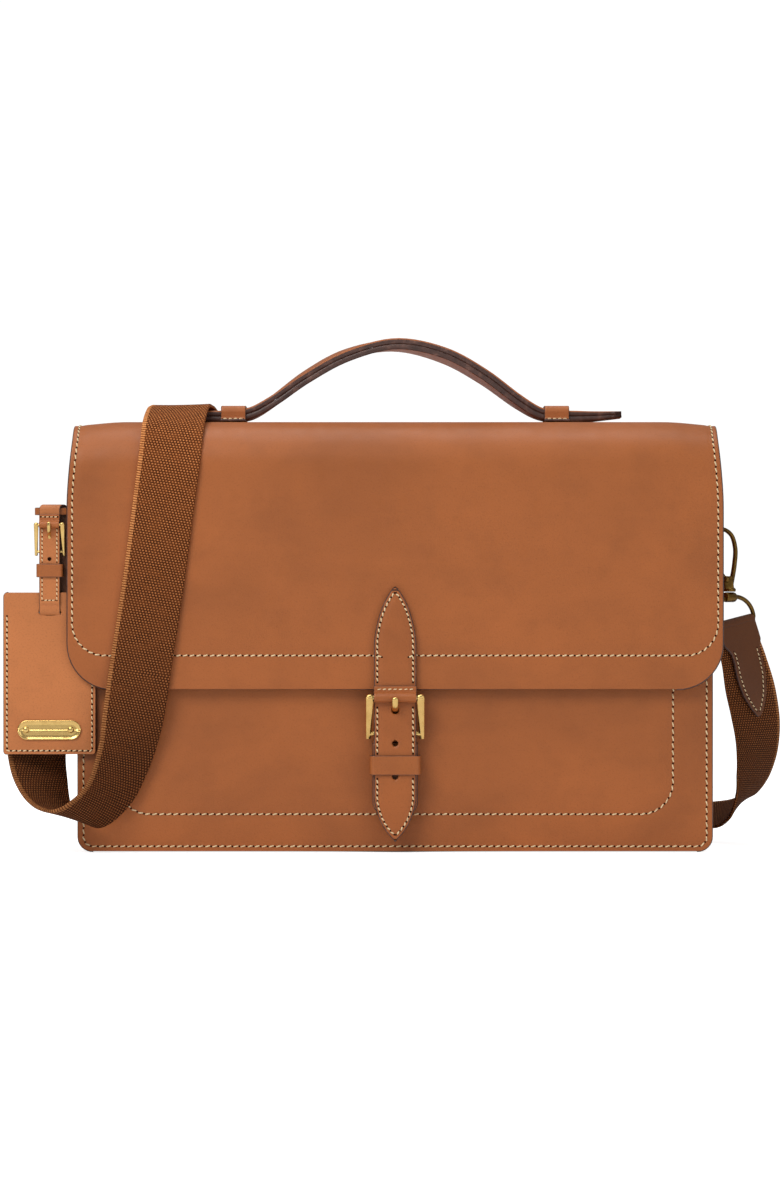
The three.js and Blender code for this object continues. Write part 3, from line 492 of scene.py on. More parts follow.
def punch(piece, cutters, material):
    """Cuts holes through a piece. Each cutter is (centre, axis, half width across x, half height)."""
    for centre, axis, wide, tall in cutters:
        turn = np.arange(24) * np.pi / 12
        axis = unit(axis)
        first = np.array([1.0, 0, 0])
        second = unit(np.cross(axis, first))
        rim = wide * np.cos(turn)[:, None] * first + tall * np.sin(turn)[:, None] * second
        rings = [np.asarray(centre) + axis * d + rim for d in (-5, 5)]
        cutter = build("cutter", [capped(rings)], [material])
        cut = piece.modifiers.new("cut", "BOOLEAN")
        cut.operation = "DIFFERENCE"
        cut.solver = "EXACT"
        cut.object = cutter
        cut.material_mode = "TRANSFER"
        with bpy.context.temp_override(object=piece, active_object=piece):
            bpy.ops.object.modifier_apply(modifier=cut.name)
        bpy.data.objects.remove(cutter)


# ---- materials ----


def linear(colour, gain=1.0):
    """A colour as shaders take it."""
    parts = [c / 255 for c in colour]
    parts = [p / 12.92 if p <= 0.04045 else ((p + 0.055) / 1.055) ** 2.4 for p in parts]
    return (*[min(1.0, p * gain) for p in parts], 1.0)


class Nodes:
    """A material and short ways to join its nodes."""

    def __init__(self, name):
        self.material = bpy.data.materials.new(name)
        self.material.use_nodes = True
        self.tree = self.material.node_tree
        self.shader = self.tree.nodes["Principled BSDF"]

    def add(self, kind, **settings):
        node = self.tree.nodes.new("ShaderNode" + kind)
        for key, value in settings.items():
            setattr(node, key, value)
        return node

    def join(self, value, socket):
        if isinstance(value, bpy.types.NodeSocket):
            self.tree.links.new(value, socket)
        else:
            socket.default_value = value

    def flat(self, scale=(1, 1, 1)):
        """The place on the flat piece, in metres times scale."""
        node = self.add("UVMap", uv_map="flat")
        return self.scaled(node.outputs["UV"], scale)

    def spot(self, scale=(1, 1, 1)):
        """The place in the object, in metres times scale."""
        return self.scaled(self.add("TexCoord").outputs["Object"], scale)

    def scaled(self, vector, scale):
        node = self.add("Mapping")
        self.join(vector, node.inputs["Vector"])
        node.inputs["Scale"].default_value = scale
        return node.outputs["Vector"]

    def noise(self, vector, scale, detail=3.0, rough=0.5, distort=0.0):
        node = self.add("TexNoise")
        self.join(vector, node.inputs["Vector"])
        settings = {"Scale": scale, "Detail": detail, "Roughness": rough, "Distortion": distort}
        for key, value in settings.items():
            node.inputs[key].default_value = value
        return node.outputs["Fac"]

    def cells(self, vector, scale):
        node = self.add("TexVoronoi", feature="DISTANCE_TO_EDGE")
        self.join(vector, node.inputs["Vector"])
        node.inputs["Scale"].default_value = scale
        return node.outputs["Distance"]

    def math(self, operation, *values):
        node = self.add("Math", operation=operation)
        for value, socket in zip(values, node.inputs):
            self.join(value, socket)
        return node.outputs[0]

    def ramp(self, value, *stops):
        """A colour ramp: each stop is (place, colour) with the colour already linear."""
        node = self.add("ValToRGB")
        while len(node.color_ramp.elements) < len(stops):
            node.color_ramp.elements.new(0.5)
        for element, (spot, colour) in zip(node.color_ramp.elements, stops):
            element.position, element.color = spot, colour
        self.join(value, node.inputs["Fac"])
        return node.outputs["Color"]

    def span(self, value, low, high, from_low=0.0, from_high=1.0):
        node = self.add("MapRange")
        self.join(value, node.inputs["Value"])
        limits = {"From Min": from_low, "From Max": from_high, "To Min": low, "To Max": high}
        for key, number in limits.items():
            node.inputs[key].default_value = number
        return node.outputs["Result"]

    def mix(self, share, first, second, blend="MIX"):
        node = self.add("Mix", data_type="RGBA", blend_type=blend)
        self.join(share, node.inputs["Factor"])
        self.join(first, node.inputs[6])
        self.join(second, node.inputs[7])
        return node.outputs[2]

    def bump(self, height, distance, strength=1.0, under=None):
        node = self.add("Bump")
        self.join(height, node.inputs["Height"])
        node.inputs["Distance"].default_value = distance
        node.inputs["Strength"].default_value = strength
        if under is not None:
            self.join(under, node.inputs["Normal"])
        return node.outputs["Normal"]

    def finish(self, colour, rough, normal=None, **sockets):
        self.join(colour, self.shader.inputs["Base Color"])
        self.join(rough, self.shader.inputs["Roughness"])
        if normal is not None:
            self.join(normal, self.shader.inputs["Normal"])
        for key, value in sockets.items():
            self.shader.inputs[key.replace("_", " ")].default_value = value
        return self.material


def grain_leather(name, colour, dark, grain=0.00008, rough=(0.42, 0.56), mottle=0.5):
    """Smooth vegetable-tanned leather: cloudy colour, fine pores, faint creases and rubbed patches."""
    n = Nodes(name)
    where = n.flat()
    clouds = n.noise(where, 11, 4, 0.55, 0.4)
    patches = n.noise(where, 46, 5, 0.6)
    streaks = n.noise(n.flat((14, 90, 1)), 1.0, 4, 0.6)
    pores = n.noise(where, 900, 3, 0.65)
    cells = n.cells(where, 820)
    low = tuple(a * (1 - mottle * 0.55) + b * mottle * 0.55 for a, b in zip(linear(colour), linear(dark)))
    high = linear(colour, 1.13)
    tone = n.ramp(clouds, (0.3, low), (0.5, linear(colour)), (0.72, high))
    tone = n.mix(n.span(patches, 0.0, 0.38, 0.5, 0.74), tone, linear(colour, 0.76))
    tone = n.mix(n.span(streaks, 0.0, 0.2, 0.5, 0.8), tone, linear(colour, 1.22))
    tone = n.mix(n.span(pores, 0.26, 0.0, 0.3, 0.47), tone, linear(dark))
    creases = n.noise(n.flat((60, 60, 1)), 1.6, 6, 0.62, 1.2)
    pebbles = n.math("MULTIPLY", n.span(cells, 0.0, 1.0, 0.0, 0.35), 0.5)
    height = n.math("ADD", pebbles, n.math("MULTIPLY", pores, 0.7))
    first = n.bump(creases, 0.00035, 0.32)
    normal = n.bump(height, grain, 0.75, first)
    shine = n.span(n.noise(where, 120, 4, 0.6), rough[0], rough[1], 0.32, 0.68)
    return n.finish(tone, shine, normal, Specular_IOR_Level=0.36, Coat_Weight=0.03, Coat_Roughness=0.35)


def edge_paint():
    """Burnished and painted leather edge: dark, slightly glossy, with rubbed spots and a fine bump."""
    n = Nodes("edge_paint")
    where = n.spot()
    spots = n.noise(where, 190, 4, 0.6)
    dark = linear(EDGE_PAINT, 0.6)
    tone = n.ramp(spots, (0.3, dark), (0.55, linear(EDGE_PAINT)), (0.75, linear(EDGE_RUBBED)))
    normal = n.bump(n.noise(where, 800, 3, 0.6), 0.00012, 0.6)
    return n.finish(tone, n.span(spots, 0.34, 0.52), normal, Specular_IOR_Level=0.5)


def thread():
    """Waxed linen thread with a twisted ply."""
    n = Nodes("thread")
    where = n.spot()
    fuzz = n.noise(where, 1600, 2, 0.6)
    tone = n.mix(n.span(fuzz, 0.0, 0.55, 0.4, 0.7), linear(THREAD), linear(THREAD_PLY))
    tone = n.mix(n.span(n.noise(where, 60, 2), 0.0, 0.35, 0.5, 0.75), tone, linear(THREAD_WORN))
    return n.finish(tone, 0.6, n.bump(fuzz, 0.0001, 0.8), Sheen_Weight=0.1)


def needle_hole():
    """The shadowed inside of a hole in leather."""
    n = Nodes("needle_hole")
    tone = n.mix(n.noise(n.spot(), 700, 2), linear(HOLE), linear(HOLE_SIDE))
    return n.finish(tone, 0.9, None, Specular_IOR_Level=0.1)


def suede():
    """Split-leather lining: matt, with a soft nap that lies in patches."""
    n = Nodes("suede")
    where = n.spot()
    nap = n.noise(where, 30, 5, 0.65, 0.6)
    fibre = n.noise(where, 1300, 3, 0.7)
    tone = n.ramp(nap, (0.3, linear(SUEDE, 0.78)), (0.52, linear(SUEDE)), (0.74, linear(SUEDE, 1.2)))
    tone = n.mix(n.span(fibre, 0.0, 0.4, 0.45, 0.7), tone, linear(SUEDE, 0.6))
    return n.finish(tone, 0.92, n.bump(fibre, 0.00022, 0.7), Specular_IOR_Level=0.15, Sheen_Weight=0.35)


def fibre_board():
    """Stiffener board: pressed fibres."""
    n = Nodes("fibre_board")
    where = n.spot()
    fibres = n.noise(n.scaled(where, (40, 400, 400)), 1.0, 5, 0.65)
    tone = n.ramp(fibres, (0.3, linear(BOARD, 0.7)), (0.6, linear(BOARD)), (0.8, linear(BOARD, 1.2)))
    return n.finish(tone, 0.9, n.bump(fibres, 0.0002, 0.5))


def woven_webbing():
    """Cotton webbing: offset rows of golden floats on a dark ground, ribbed edges, and painted shade low
    down.
    """
    n = Nodes("woven_webbing")
    split = n.add("SeparateXYZ")
    n.join(n.flat(), split.inputs[0])
    across = n.math("MULTIPLY", split.outputs[0], 1 / (FLOAT_WIDE * MM))
    along = n.math("MULTIPLY", split.outputs[1], 1 / (FLOAT_LONG * MM))
    row = n.math("FLOOR", along)
    shifted = n.math("ADD", across, n.math("MULTIPLY", row, 0.36))
    weft = n.math("PINGPONG", n.math("MULTIPLY", shifted, 2.0), 1.0)
    warp = n.math("PINGPONG", n.math("MULTIPLY", n.math("SUBTRACT", along, row), 2.0), 1.0)
    floats = n.math("MULTIPLY", n.math("POWER", weft, 0.85), n.math("POWER", warp, 0.8))
    rib = n.math("POWER", warp, 0.5)
    edge = n.math("GREATER_THAN", n.math("ABSOLUTE", across), PLAIN_HALF / FLOAT_WIDE)
    weave = n.add("Mix", data_type="FLOAT")
    n.join(edge, weave.inputs[0])
    n.join(floats, weave.inputs[2])
    n.join(rib, weave.inputs[3])
    height = weave.outputs[0]
    yarn = n.noise(n.flat((700, 700, 1)), 1.0, 2, 0.6)
    slub = n.noise(n.flat((90, 160, 1)), 1.0, 3, 0.6)
    tone = n.ramp(height, (0.16, linear(WEB_DARK)), (0.5, linear(WEB_MID)), (0.86, linear(WEB_GOLD)))
    tone = n.mix(n.span(yarn, 0.0, 0.5, 0.45, 0.75), tone, linear(WEB_DARK, 1.5))
    tone = n.mix(n.span(slub, 0.0, 0.35, 0.45, 0.7), tone, linear(WEB_MID, 0.7))
    # Painted shade: the webbing's colour is multiplied darker towards the bottom, where the loops and lower
    # strap are less lit.
    spot = n.add("SeparateXYZ")
    n.join(n.spot(), spot.inputs[0])
    painted_shade_low = n.span(spot.outputs[2], 0.42, 1.0, 0.06, 0.25)
    painted_shade_grey = n.add("CombineXYZ")
    for socket in painted_shade_grey.inputs:
        n.join(painted_shade_low, socket)
    tone = n.mix(1.0, tone, painted_shade_grey.outputs[0], "MULTIPLY")
    normal = n.bump(height, 0.0006, 0.8, n.bump(yarn, 0.0002, 0.5))
    return n.finish(tone, 0.85, normal, Specular_IOR_Level=0.12)


def metal(name, colour, rough, tarnish, patina):
    """Cast brass: fine scratches, a little casting unevenness and tarnish in patches."""
    n = Nodes(name)
    where = n.spot()
    patches = n.noise(where, 170, 5, 0.65)
    marks = n.noise(n.scaled(where, (300, 300, 2600)), 1.0, 3, 0.6)
    tone = n.mix(n.span(patches, 0.0, patina, 0.42, 0.7), linear(colour), linear(tarnish))
    gloss = n.span(marks, rough[0], rough[1], 0.3, 0.7)
    normal = n.bump(marks, 0.00002, 0.4, n.bump(n.noise(where, 160, 3), 0.00004, 0.4))
    return n.finish(tone, gloss, normal, Metallic=1.0)


def make_materials():
    """Every material by name."""
    return {
        "saddle": grain_leather("saddle_leather_grain", SADDLE, SADDLE_DARK),
        "light": grain_leather("saddle_leather_light", SADDLE_LIGHT, SADDLE_DARK),
        "tab": grain_leather("dark_leather_tab", TAB, TAB_DARK),
        "keeper": grain_leather("dark_leather_keeper", KEEPER, KEEPER_DARK),
        "edge": edge_paint(),
        "thread": thread(),
        "hole": needle_hole(),
        "suede": suede(),
        "board": fibre_board(),
        "webbing": woven_webbing(),
        "brass": metal("polished_brass_cast", BRASS, (0.16, 0.28), BRASS_DULL, 0.4),
        "aged": metal("aged_brass_cast", BRASS_AGED, (0.26, 0.42), BRASS_PATINA, 0.75),
    }


MAT = make_materials()
LEATHER = [MAT["saddle"], MAT["edge"], MAT["suede"]]
BOTH_SIDES = [MAT["saddle"], MAT["edge"], MAT["saddle"]]
SEWING = [MAT["thread"], MAT["hole"]]
KEEPER_LEATHER = [MAT["keeper"], MAT["edge"], MAT["edge"]]
TAB_LEATHER = [MAT["tab"], MAT["edge"], MAT["tab"]]
TAG_LEATHER = [MAT["light"], MAT["edge"], MAT["light"]]
# The tag strap's inner faces take the dark tab leather as painted shade between its arms.
TAG_STRAP_LEATHER_SHADED_INSIDE = [MAT["light"], MAT["edge"], MAT["tab"]]


# ---- the hide: flap, top and back panel in one piece of leather ----

HIDE = Profile(
    (HIDE_FRONT, HIDE_EDGE),
    90,
    (HIDE_TOP - FRONT_BEND - HIDE_EDGE, 0),
    (FRONT_BEND * math.pi / 2, -90),
    (HIDE_BACK - BACK_BEND - HIDE_FRONT - FRONT_BEND, 0),
    (BACK_BEND * math.pi / 2, -90),
    (HIDE_TOP - BACK_BEND, 0),
)
TOP_START = HIDE_TOP - FRONT_BEND - HIDE_EDGE + FRONT_BEND * math.pi / 2
SEAM_AT = TOP_START + SEAM_Y - HIDE_FRONT - FRONT_BEND
HEEL_AT = HIDE.length - HIDE_TOP + BACK_BEND


def hide_half(s):
    """Half of the hide's width at a distance along its section."""
    wide = FLAP_HALF + (FLAP_TOP_HALF - FLAP_HALF) * smooth(s, 112, 165)
    return wide + (PANEL_HALF - FLAP_TOP_HALF) * smooth(s, HEEL_AT - 16, HEEL_AT + 14)


def hide_point(x, s, depth=0.0):
    """(point, direction outward) on the hide, depth below its outer face. Its top droops at both ends."""
    x, s = np.broadcast_arrays(np.asarray(x, float), np.asarray(s, float))
    point, out = HIDE.at(s)
    spot = np.stack([x, point[..., 0], point[..., 1]], -1)
    normal = np.stack([np.zeros_like(x), out[..., 0], out[..., 1]], -1)
    top = smooth(s, 120, 168) * (1 - smooth(s, HEEL_AT - 22, HEEL_AT))
    droop = smooth(np.abs(x), 168, 205) * 2.4 * top
    wave = 0.28 * np.sin(x / 41 + 1.1) * np.sin(s / 34 + 0.4) + 0.16 * np.sin(x / 17 + s / 23)
    front = smooth(s, 6, 40) * (1 - smooth(s, 150, 180)) * smooth(FLAP_HALF - np.abs(x), 8, 40)
    swell = front * (0.35 + wave)
    return spot - normal * (depth + 0.4 - swell)[..., None] - np.stack([0 * x, 0 * x, droop], -1), normal


def hide_grid(rows, thickness, near, step):
    """A grid on the hide's middle surface."""
    shares = columns(FLAP_HALF, near, step)
    return np.array([hide_point(shares * half, s, t / 2)[0] for s, half, t in zip(*rows, thickness)])


def round_u(side, middle, base, rise, turns, count):
    """A side line, a round corner, a straight base and the same again mirrored.

    rise is the corner's radius, below 0 where the side comes from smaller values than the base."""
    turn = np.linspace(0, np.pi / 2, turns)[1:]
    bend = np.stack([middle + abs(rise) * np.cos(turn), base + rise - rise * np.sin(turn)], -1)
    floor = np.stack([np.linspace(middle, -middle, count)[1:-1], np.full(count - 2, base)], -1)
    left = np.concatenate([side, bend])[::-1] * (-1, 1)
    return np.concatenate([side, bend, floor, left])


def flap_seam_line():
    """The stitch line round the flap, from over the top on one side to over the top on the other."""
    inset, corner, low = 3.6, 20.0, 20.8
    s_side = np.arange(SEAM_AT - 6, low + corner, -1.0)
    side = np.stack([hide_half(s_side) - inset, s_side], -1)
    return round_u(side, FLAP_HALF - inset - corner, low, corner, 24, 200)


def on_hide(line):
    """(points, directions outward) of a line given across and along the hide."""
    return hide_point(line[:, 0], line[:, 1])


def add_flap():
    """The flap from its lower edge to the seam on top, with its stitches."""
    corner = corner_rows(FLAP_CORNER, 12)
    rows = np.concatenate([
        corner, np.arange(29.6, 47, 1.6), np.arange(49, HIDE_TOP - FRONT_BEND - HIDE_EDGE, 5.5),
        np.linspace(HIDE_TOP - FRONT_BEND - HIDE_EDGE, TOP_START, 16)[:-1],
        np.linspace(TOP_START, SEAM_AT, 9)])
    rounded = corner_half(rows, FLAP_HALF, FLAP_CORNER)
    half = np.where(rows < FLAP_CORNER, rounded, hide_half(rows)) - 0.8
    grid = hide_grid((rows, half), np.full(len(rows), FLAP_THICKNESS), np.arange(0, 25, 1.3), 5.5)
    line, out = on_hide(flap_seam_line())
    leather = slab(grid, FLAP_THICKNESS, flush=("end",), presses=[(line, 0.34, 1.7)])
    place("flap_leather", "flap", "saddle_leather", [leather], LEATHER, ["flap", "flap_facing"])
    sewing = stitching(line - out * 0.2, out)
    place("flap_stitching", "flap", "saddle_leather", [sewing], SEWING)


def add_back():
    """Top, rear bend and back panel; its rear bend lies at the flap's hinge."""
    straight = np.arange(HEEL_AT + 2, HEEL_AT + 20, 2.0)
    rows = np.concatenate([
        np.linspace(SEAM_AT, HEEL_AT - BACK_BEND * math.pi / 2, 5)[:-1],
        np.linspace(HEEL_AT - BACK_BEND * math.pi / 2, HEEL_AT, 16), straight,
        np.arange(HEEL_AT + 26, HIDE.length - PANEL_CORNER - 6, 7.0),
        HIDE.length - corner_rows(PANEL_CORNER, 8)[::-1]])
    low = HIDE.length - rows
    rounded = corner_half(low, PANEL_HALF, PANEL_CORNER)
    half = np.where(low < PANEL_CORNER, rounded, hide_half(rows)) - 0.8
    thinner = smooth(rows, HEEL_AT - 18, HEEL_AT + 4)
    thickness = FLAP_THICKNESS + (PANEL_THICKNESS - FLAP_THICKNESS) * thinner
    grid = hide_grid((rows, half), thickness, np.arange(0, 10, 1.5), 8)
    line, out = on_hide(back_seam_line())
    leather = slab(grid, np.repeat(thickness[:, None], grid.shape[1], 1), flush=("start",),
                   presses=[(line, 0.3, 1.6)])
    piece = place("back_leather", None, "saddle_leather", [leather], LEATHER, ["back_panel"])
    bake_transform(piece)
    sewing = stitching(line - out * 0.15, out)
    place("back_stitching", "case", "saddle_leather", [sewing], SEWING)


def back_seam_line():
    """The stitch line round the back panel."""
    inset, corner = 4.0, 6.0
    top, base = HEEL_AT + 16, HIDE.length - 3.6
    side = np.stack([np.full(150, PANEL_HALF - inset), np.linspace(top, base - corner, 150)], -1)
    return round_u(side, PANEL_HALF - inset - corner, base, -corner, 8, 120)


# ---- bag body ----


def u_line(half, low, high, corner):
    """Points (x, z) down one side, round two corners and up the other side."""
    side = np.stack([np.full(80, half), np.linspace(high, low + corner, 80)], -1)
    return round_u(side, half - corner, low, corner, 12, 120)


def panel_swell(x, z):
    """How far the front panel bulges forward."""
    middle = smooth(z, 52, 120) * (1 - smooth(z, 200, 245)) * (1 - (x / PANEL_HALF) ** 4)
    ripple = 0.22 * np.sin(x / 37 + 0.7) * np.sin(z / 29) * smooth(PANEL_HALF - np.abs(x), 12, 40)
    return 0.7 * middle + ripple * smooth(z, 6, 30) * (1 - smooth(z, 30, 52) * 0.5)


def on_front(line, front):
    """Points on the front panel's outer face."""
    return np.stack([line[:, 0], front - panel_swell(line[:, 0], line[:, 1]), line[:, 1]], -1)


def add_front():
    """The front panel, with stitches round its edge and round the pocket behind it."""
    front = box_of("front_panel")[0][1]
    rows = [corner_rows(PANEL_CORNER, 9), np.arange(10.5, 48, 1.7), np.arange(52, PANEL_TOP, 6.0)]
    rows = np.concatenate(rows)
    half = corner_half(rows, PANEL_HALF, PANEL_CORNER) - 0.6
    shares = columns(PANEL_HALF, np.concatenate([np.arange(0, 10, 1.3), np.arange(11, 48, 2.0)]), 6)
    x = half[:, None] * shares
    z = np.repeat(rows[:, None] + 0.6, len(shares), 1)
    grid = np.stack([x, front + PANEL_THICKNESS / 2 - panel_swell(x, z), z], -1)
    outer = on_front(u_line(PANEL_HALF - 4, 3.6, PANEL_TOP - 6, 6), front)
    pocket = on_front(u_line(173, 23.6, 205, 20), front)
    leather = slab(grid, PANEL_THICKNESS, presses=[(outer, 0.3, 1.6), (pocket, 0.34, 1.8)])
    place("front_leather", "case", "saddle_leather", [leather], LEATHER, ["front_panel"])
    rows = [stitching(line + (0, 0.12, 0), (0, -1, 0), 4.4) for line in (outer, pocket)]
    place("front_stitching", "case", "saddle_leather", rows, SEWING)


def pull(x, y, z, half):
    """How far the soft sides draw in at a place near x = half."""
    high = np.sin(np.clip((z - 12) / 200, 0, 1) * np.pi) ** 2
    middle = 1 - np.clip(np.abs(y) / 41.5, 0, 1) ** 2
    return GUSSET_PULL * high * middle * smooth(np.abs(x), half - 40, half)


def add_gusset():
    """One strip of leather that makes both sides and the bottom."""
    half, edge, top = box_of("gusset")[1]
    corner = 8.0
    side_run = (top - corner, 0)
    bend_run = (corner * math.pi / 2, -90)
    path = Profile((half, top), -90, side_run, bend_run, (2 * (half - corner), 0), bend_run, side_run)
    side = np.arange(0, top - corner, 4.0)
    bend = np.linspace(top - corner, top - corner + corner * math.pi / 2, 8)
    base = np.linspace(bend[-1], path.length - bend[-1], 40)
    far = path.length - np.concatenate([side, bend])[::-1]
    s = np.concatenate([side, bend, base[1:-1], far])
    across = edge * columns(edge, (0, 0.8, 1.6, 2.6, 4), 6)[::-1]
    point, out = path.at(s)
    y = np.broadcast_to(across, (len(s), len(across)))
    fold = 1.6 * smooth(np.abs(y), edge - 3.0, edge)
    flat = point[:, None] - out[:, None] * (1.0 + fold)[..., None]
    x = flat[..., 0] - np.sign(flat[..., 0]) * pull(flat[..., 0], y, flat[..., 1], half)
    grid = np.stack([x, y, flat[..., 1]], -1)
    place("gusset_leather", "case", "saddle_leather", [slab(grid, 1.8)], LEATHER, ["gusset"])


def rounded_ring(half_x, half_y, radius, inset=0.0):
    """Points round a rounded rectangle in X and Y."""
    radius = max(radius - inset, 0.6)
    half_x, half_y = half_x - inset, half_y - inset
    corners = []
    for sx, sy, start in ((1, 1, 0), (-1, 1, 90), (-1, -1, 180), (1, -1, 270)):
        turn = np.radians(start + np.linspace(0, 90, 7))
        centre = np.array([sx * (half_x - radius), sy * (half_y - radius)])
        corners.append(centre + radius * np.stack([np.cos(turn), np.sin(turn)], -1))
    ring = []
    for k in range(4):
        ring.append(corners[k])
        following = corners[(k + 1) % 4][0]
        count = 40 if k % 2 == 0 else 10
        ring.append(corners[k][-1] + (following - corners[k][-1]) * np.linspace(0, 1, count + 2)[1:-1, None])
    return np.concatenate(ring)


def add_lining():
    """A tub of suede that follows the drawn-in sides."""
    base = box_of("lining")[0][2]
    half_x, half_y, top = box_of("lining")[1]
    rings = []
    for inset, heights in ((0.0, np.linspace(base, top, 26)), (0.8, np.linspace(top, base + 0.8, 26))):
        for z in heights:
            soft = 5 * (1 - smooth(z, base, base + 5)) ** 2
            ring = rounded_ring(half_x - soft, half_y - soft, 5, inset)
            x = ring[:, 0] - np.sign(ring[:, 0]) * pull(ring[:, 0], ring[:, 1], z, half_x)
            rings.append(np.stack([x, ring[:, 1], np.full(len(x), z)], -1))
    place("lining_suede", "case", "suede_lining", [capped(rings)], [MAT["suede"]], ["lining"])


def add_divider():
    """The wall between the two compartments."""
    base = box_of("divider")[0][2]
    half, _, top = box_of("divider")[1]
    half -= 0.5
    corner = corner_rows(6, 6)
    rows = np.concatenate([base + 0.4 + corner, np.arange(16, top - 6, 6.0), (top - 0.4 - corner)[::-1]])
    shares = columns(half, (0, 0.8, 2, 4), 10)
    edge = np.minimum(rows - rows[0], rows[-1] - rows)
    width = corner_half(edge, half, 6) - pull(half, 0, rows, half)
    x = width[:, None] * shares
    z = np.repeat(rows[:, None], len(shares), 1)
    grid = np.stack([x, 0.3 * np.sin(x / 50) * np.sin(z / 40), z], -1)
    place("divider_leather", "case", "saddle_leather", [slab(grid, 1.9)], BOTH_SIDES, ["divider"])


def add_slip_pocket():
    """An open pocket of suede on the divider."""
    low, high = box_of("slip_pocket")
    half, _, top = high
    base = low[2]
    depth = (low[1] + high[1]) / 2
    rows = np.concatenate([corner_rows(20, 9) + base, np.arange(base + 24, top, 6.0), [top]])
    width = corner_half(rows - base, half, 20) - 0.5
    x = -width[:, None] * columns(half, (0, 0.8, 2, 4), 10)
    z = np.repeat(rows[:, None], x.shape[1], 1)
    sag = 1.2 * smooth(z, base + 60, top) * (1 - (x / half) ** 2)
    grid = np.stack([x, depth + sag, z], -1)
    x = np.linspace(half - 6, 6 - half, 90)
    y = depth + 0.6 + 1.2 * smooth(top - 5, base + 60, top) * (1 - (x / half) ** 2)
    hem = np.stack([x, y, np.full(90, top - 5)], -1)
    suede = [MAT["suede"], MAT["edge"], MAT["suede"]]
    place("slip_pocket_suede", "case", "suede_lining", [slab(grid, 1.3)], suede, ["slip_pocket"])
    place("slip_pocket_stitching", "case", "suede_lining", [stitching(hem, (0, 1, 0))], SEWING)


# ---- closure strap and its parts ----

STRAP_LOW, STRAP_HIGH = box_of("closure_strap")
STRAP_HALF = STRAP_HIGH[0]
STRAP_THICK = STRAP_HIGH[1] - STRAP_LOW[1]
WRAP_BAND = (91.5, 104.0)
KEEPER_BAND = (48.0, 61.2)


def ogive(tip, shoulder, half, count):
    """Rows (z, half width) from a pointed tip to the full width."""
    u = np.linspace(0.03, 1, count)
    control = tip + 0.34 * (shoulder - tip)
    z = tip * (1 - u) ** 2 + 2 * u * (1 - u) * control + shoulder * u**2
    return z, 2 * u * (1 - u) * 0.8 * half + half * u**2


def strap_outline(inset):
    """Rows (z, half width) of the closure strap, from its lower tip to its upper tip."""
    half = STRAP_HALF - inset
    low, high = STRAP_LOW[2] + 2.0 * inset, STRAP_HIGH[2] - 2.2 * inset
    z0, w0 = ogive(low, STRAP_LOW[2] + 26, half, 22)
    z1, w1 = ogive(high, STRAP_HIGH[2] - 35, half, 26)
    middle = np.arange(STRAP_LOW[2] + 29, STRAP_HIGH[2] - 37, 2.6)
    z = np.concatenate([z0, middle, z1[::-1]])
    return z, np.concatenate([w0, np.full(len(middle), half), w1[::-1]])


def strap_seam_lines():
    """Stitch lines at both edges of the closure strap, clear of the buckle's roll and of the keeper."""
    z, half = strap_outline(2.2)
    lines = []
    for side in (-1, 1):
        line = np.stack([side * half, np.full(len(z), STRAP_LOW[1] + 0.32), z], -1)
        for low, high in ((0, KEEPER_BAND[0]), (KEEPER_BAND[1], WRAP_BAND[0]), (WRAP_BAND[1], 200)):
            lines.append(line[(z > low) & (z < high)])
    return lines


def add_closure_strap():
    """A strap with a pointed end, three holes and stitched edges."""
    z, half = strap_outline(0)
    tall = STRAP_HIGH[2] - STRAP_LOW[2]
    z = STRAP_LOW[2] + 0.8 + (z - STRAP_LOW[2]) * (tall - 1.6) / tall
    half = half - 0.8
    shares = columns(STRAP_HALF, (0, 0.5, 1.0, 1.6, 2.2, 2.8, 3.4, 4.2, 5.4), 2.4)
    x = half[:, None] * shares
    middle = (STRAP_LOW[1] + STRAP_HIGH[1]) / 2
    grid = np.stack([x, np.full(x.shape, middle), np.repeat(z[:, None], x.shape[1], 1)], -1)
    lines = strap_seam_lines()
    thickness = STRAP_THICK - 0.9 * smooth(np.abs(x), half[:, None] * 0.72, half[:, None]) - 0.1
    leather = slab(grid, thickness, presses=[(line, 0.4, 0.9) for line in lines], bulge=0.4)
    piece = place("closure_strap_leather", "flap", "saddle_leather", [leather], BOTH_SIDES, ["closure_strap"])
    holes = [((0, middle, height), (0, 1, 0), 1.9, 1.9) for height in (68.2, 47.7)]
    holes.append(((0, middle, 87.9), (0, -0.92, 0.39), 2.4, 2.2))
    punch(piece, holes, MAT["edge"])
    rows = [stitching(line + (0, 0.1, 0), (0, -1, 0), STRAP_PITCH, 19, 0.48) for line in lines]
    for side in (-1, 1):
        tack = [[side * 11.3, STRAP_LOW[1] + 0.2, 122.6], [side * 8.2, STRAP_LOW[1] + 0.1, 121.6]]
        rows.append(stitching(tack, (0, -1, 0), STRAP_PITCH, 10, 0.48))
    place("closure_strap_stitching", "flap", "saddle_leather", rows, SEWING)


def wide_grid(profile_points, half, shares):
    """A grid that runs straight across X from a path in Y and Z."""
    x = half * np.asarray(shares)
    return np.array([[(a, p[0], p[1]) for a in x] for p in profile_points])


def add_chape():
    """The strap's under-layer, and its roll round the buckle's heel bar."""
    low, high = box_of("closure_chape")
    half, base = high[0], low[2]
    rows = np.concatenate([corner_rows(7, 7), np.arange(9, 46, 2.2)])
    x = (corner_half(rows, half, 7) - 0.5)[:, None] * columns(half, (0, 0.6, 1.6), 3)
    z = np.repeat(rows[:, None] + base + 0.4, x.shape[1], 1)
    grid = np.stack([x, np.full(x.shape, -52.2), z], -1)
    shells = [slab(grid, 2.3)]
    turn = np.radians(np.linspace(200, -110, 26))
    ring = np.stack([-50.6 + 2.3 * np.cos(turn), 74 + 2.3 * np.sin(turn)], -1)
    for side in (-1, 1):
        roll = wide_grid(ring, 4.9, np.linspace(-1, 1, 8))
        roll[..., 0] += side * 7.6
        shells.append(slab(roll, 1.0))
    place("closure_under_leather", "flap", "saddle_leather", shells, BOTH_SIDES, ["closure_chape"])


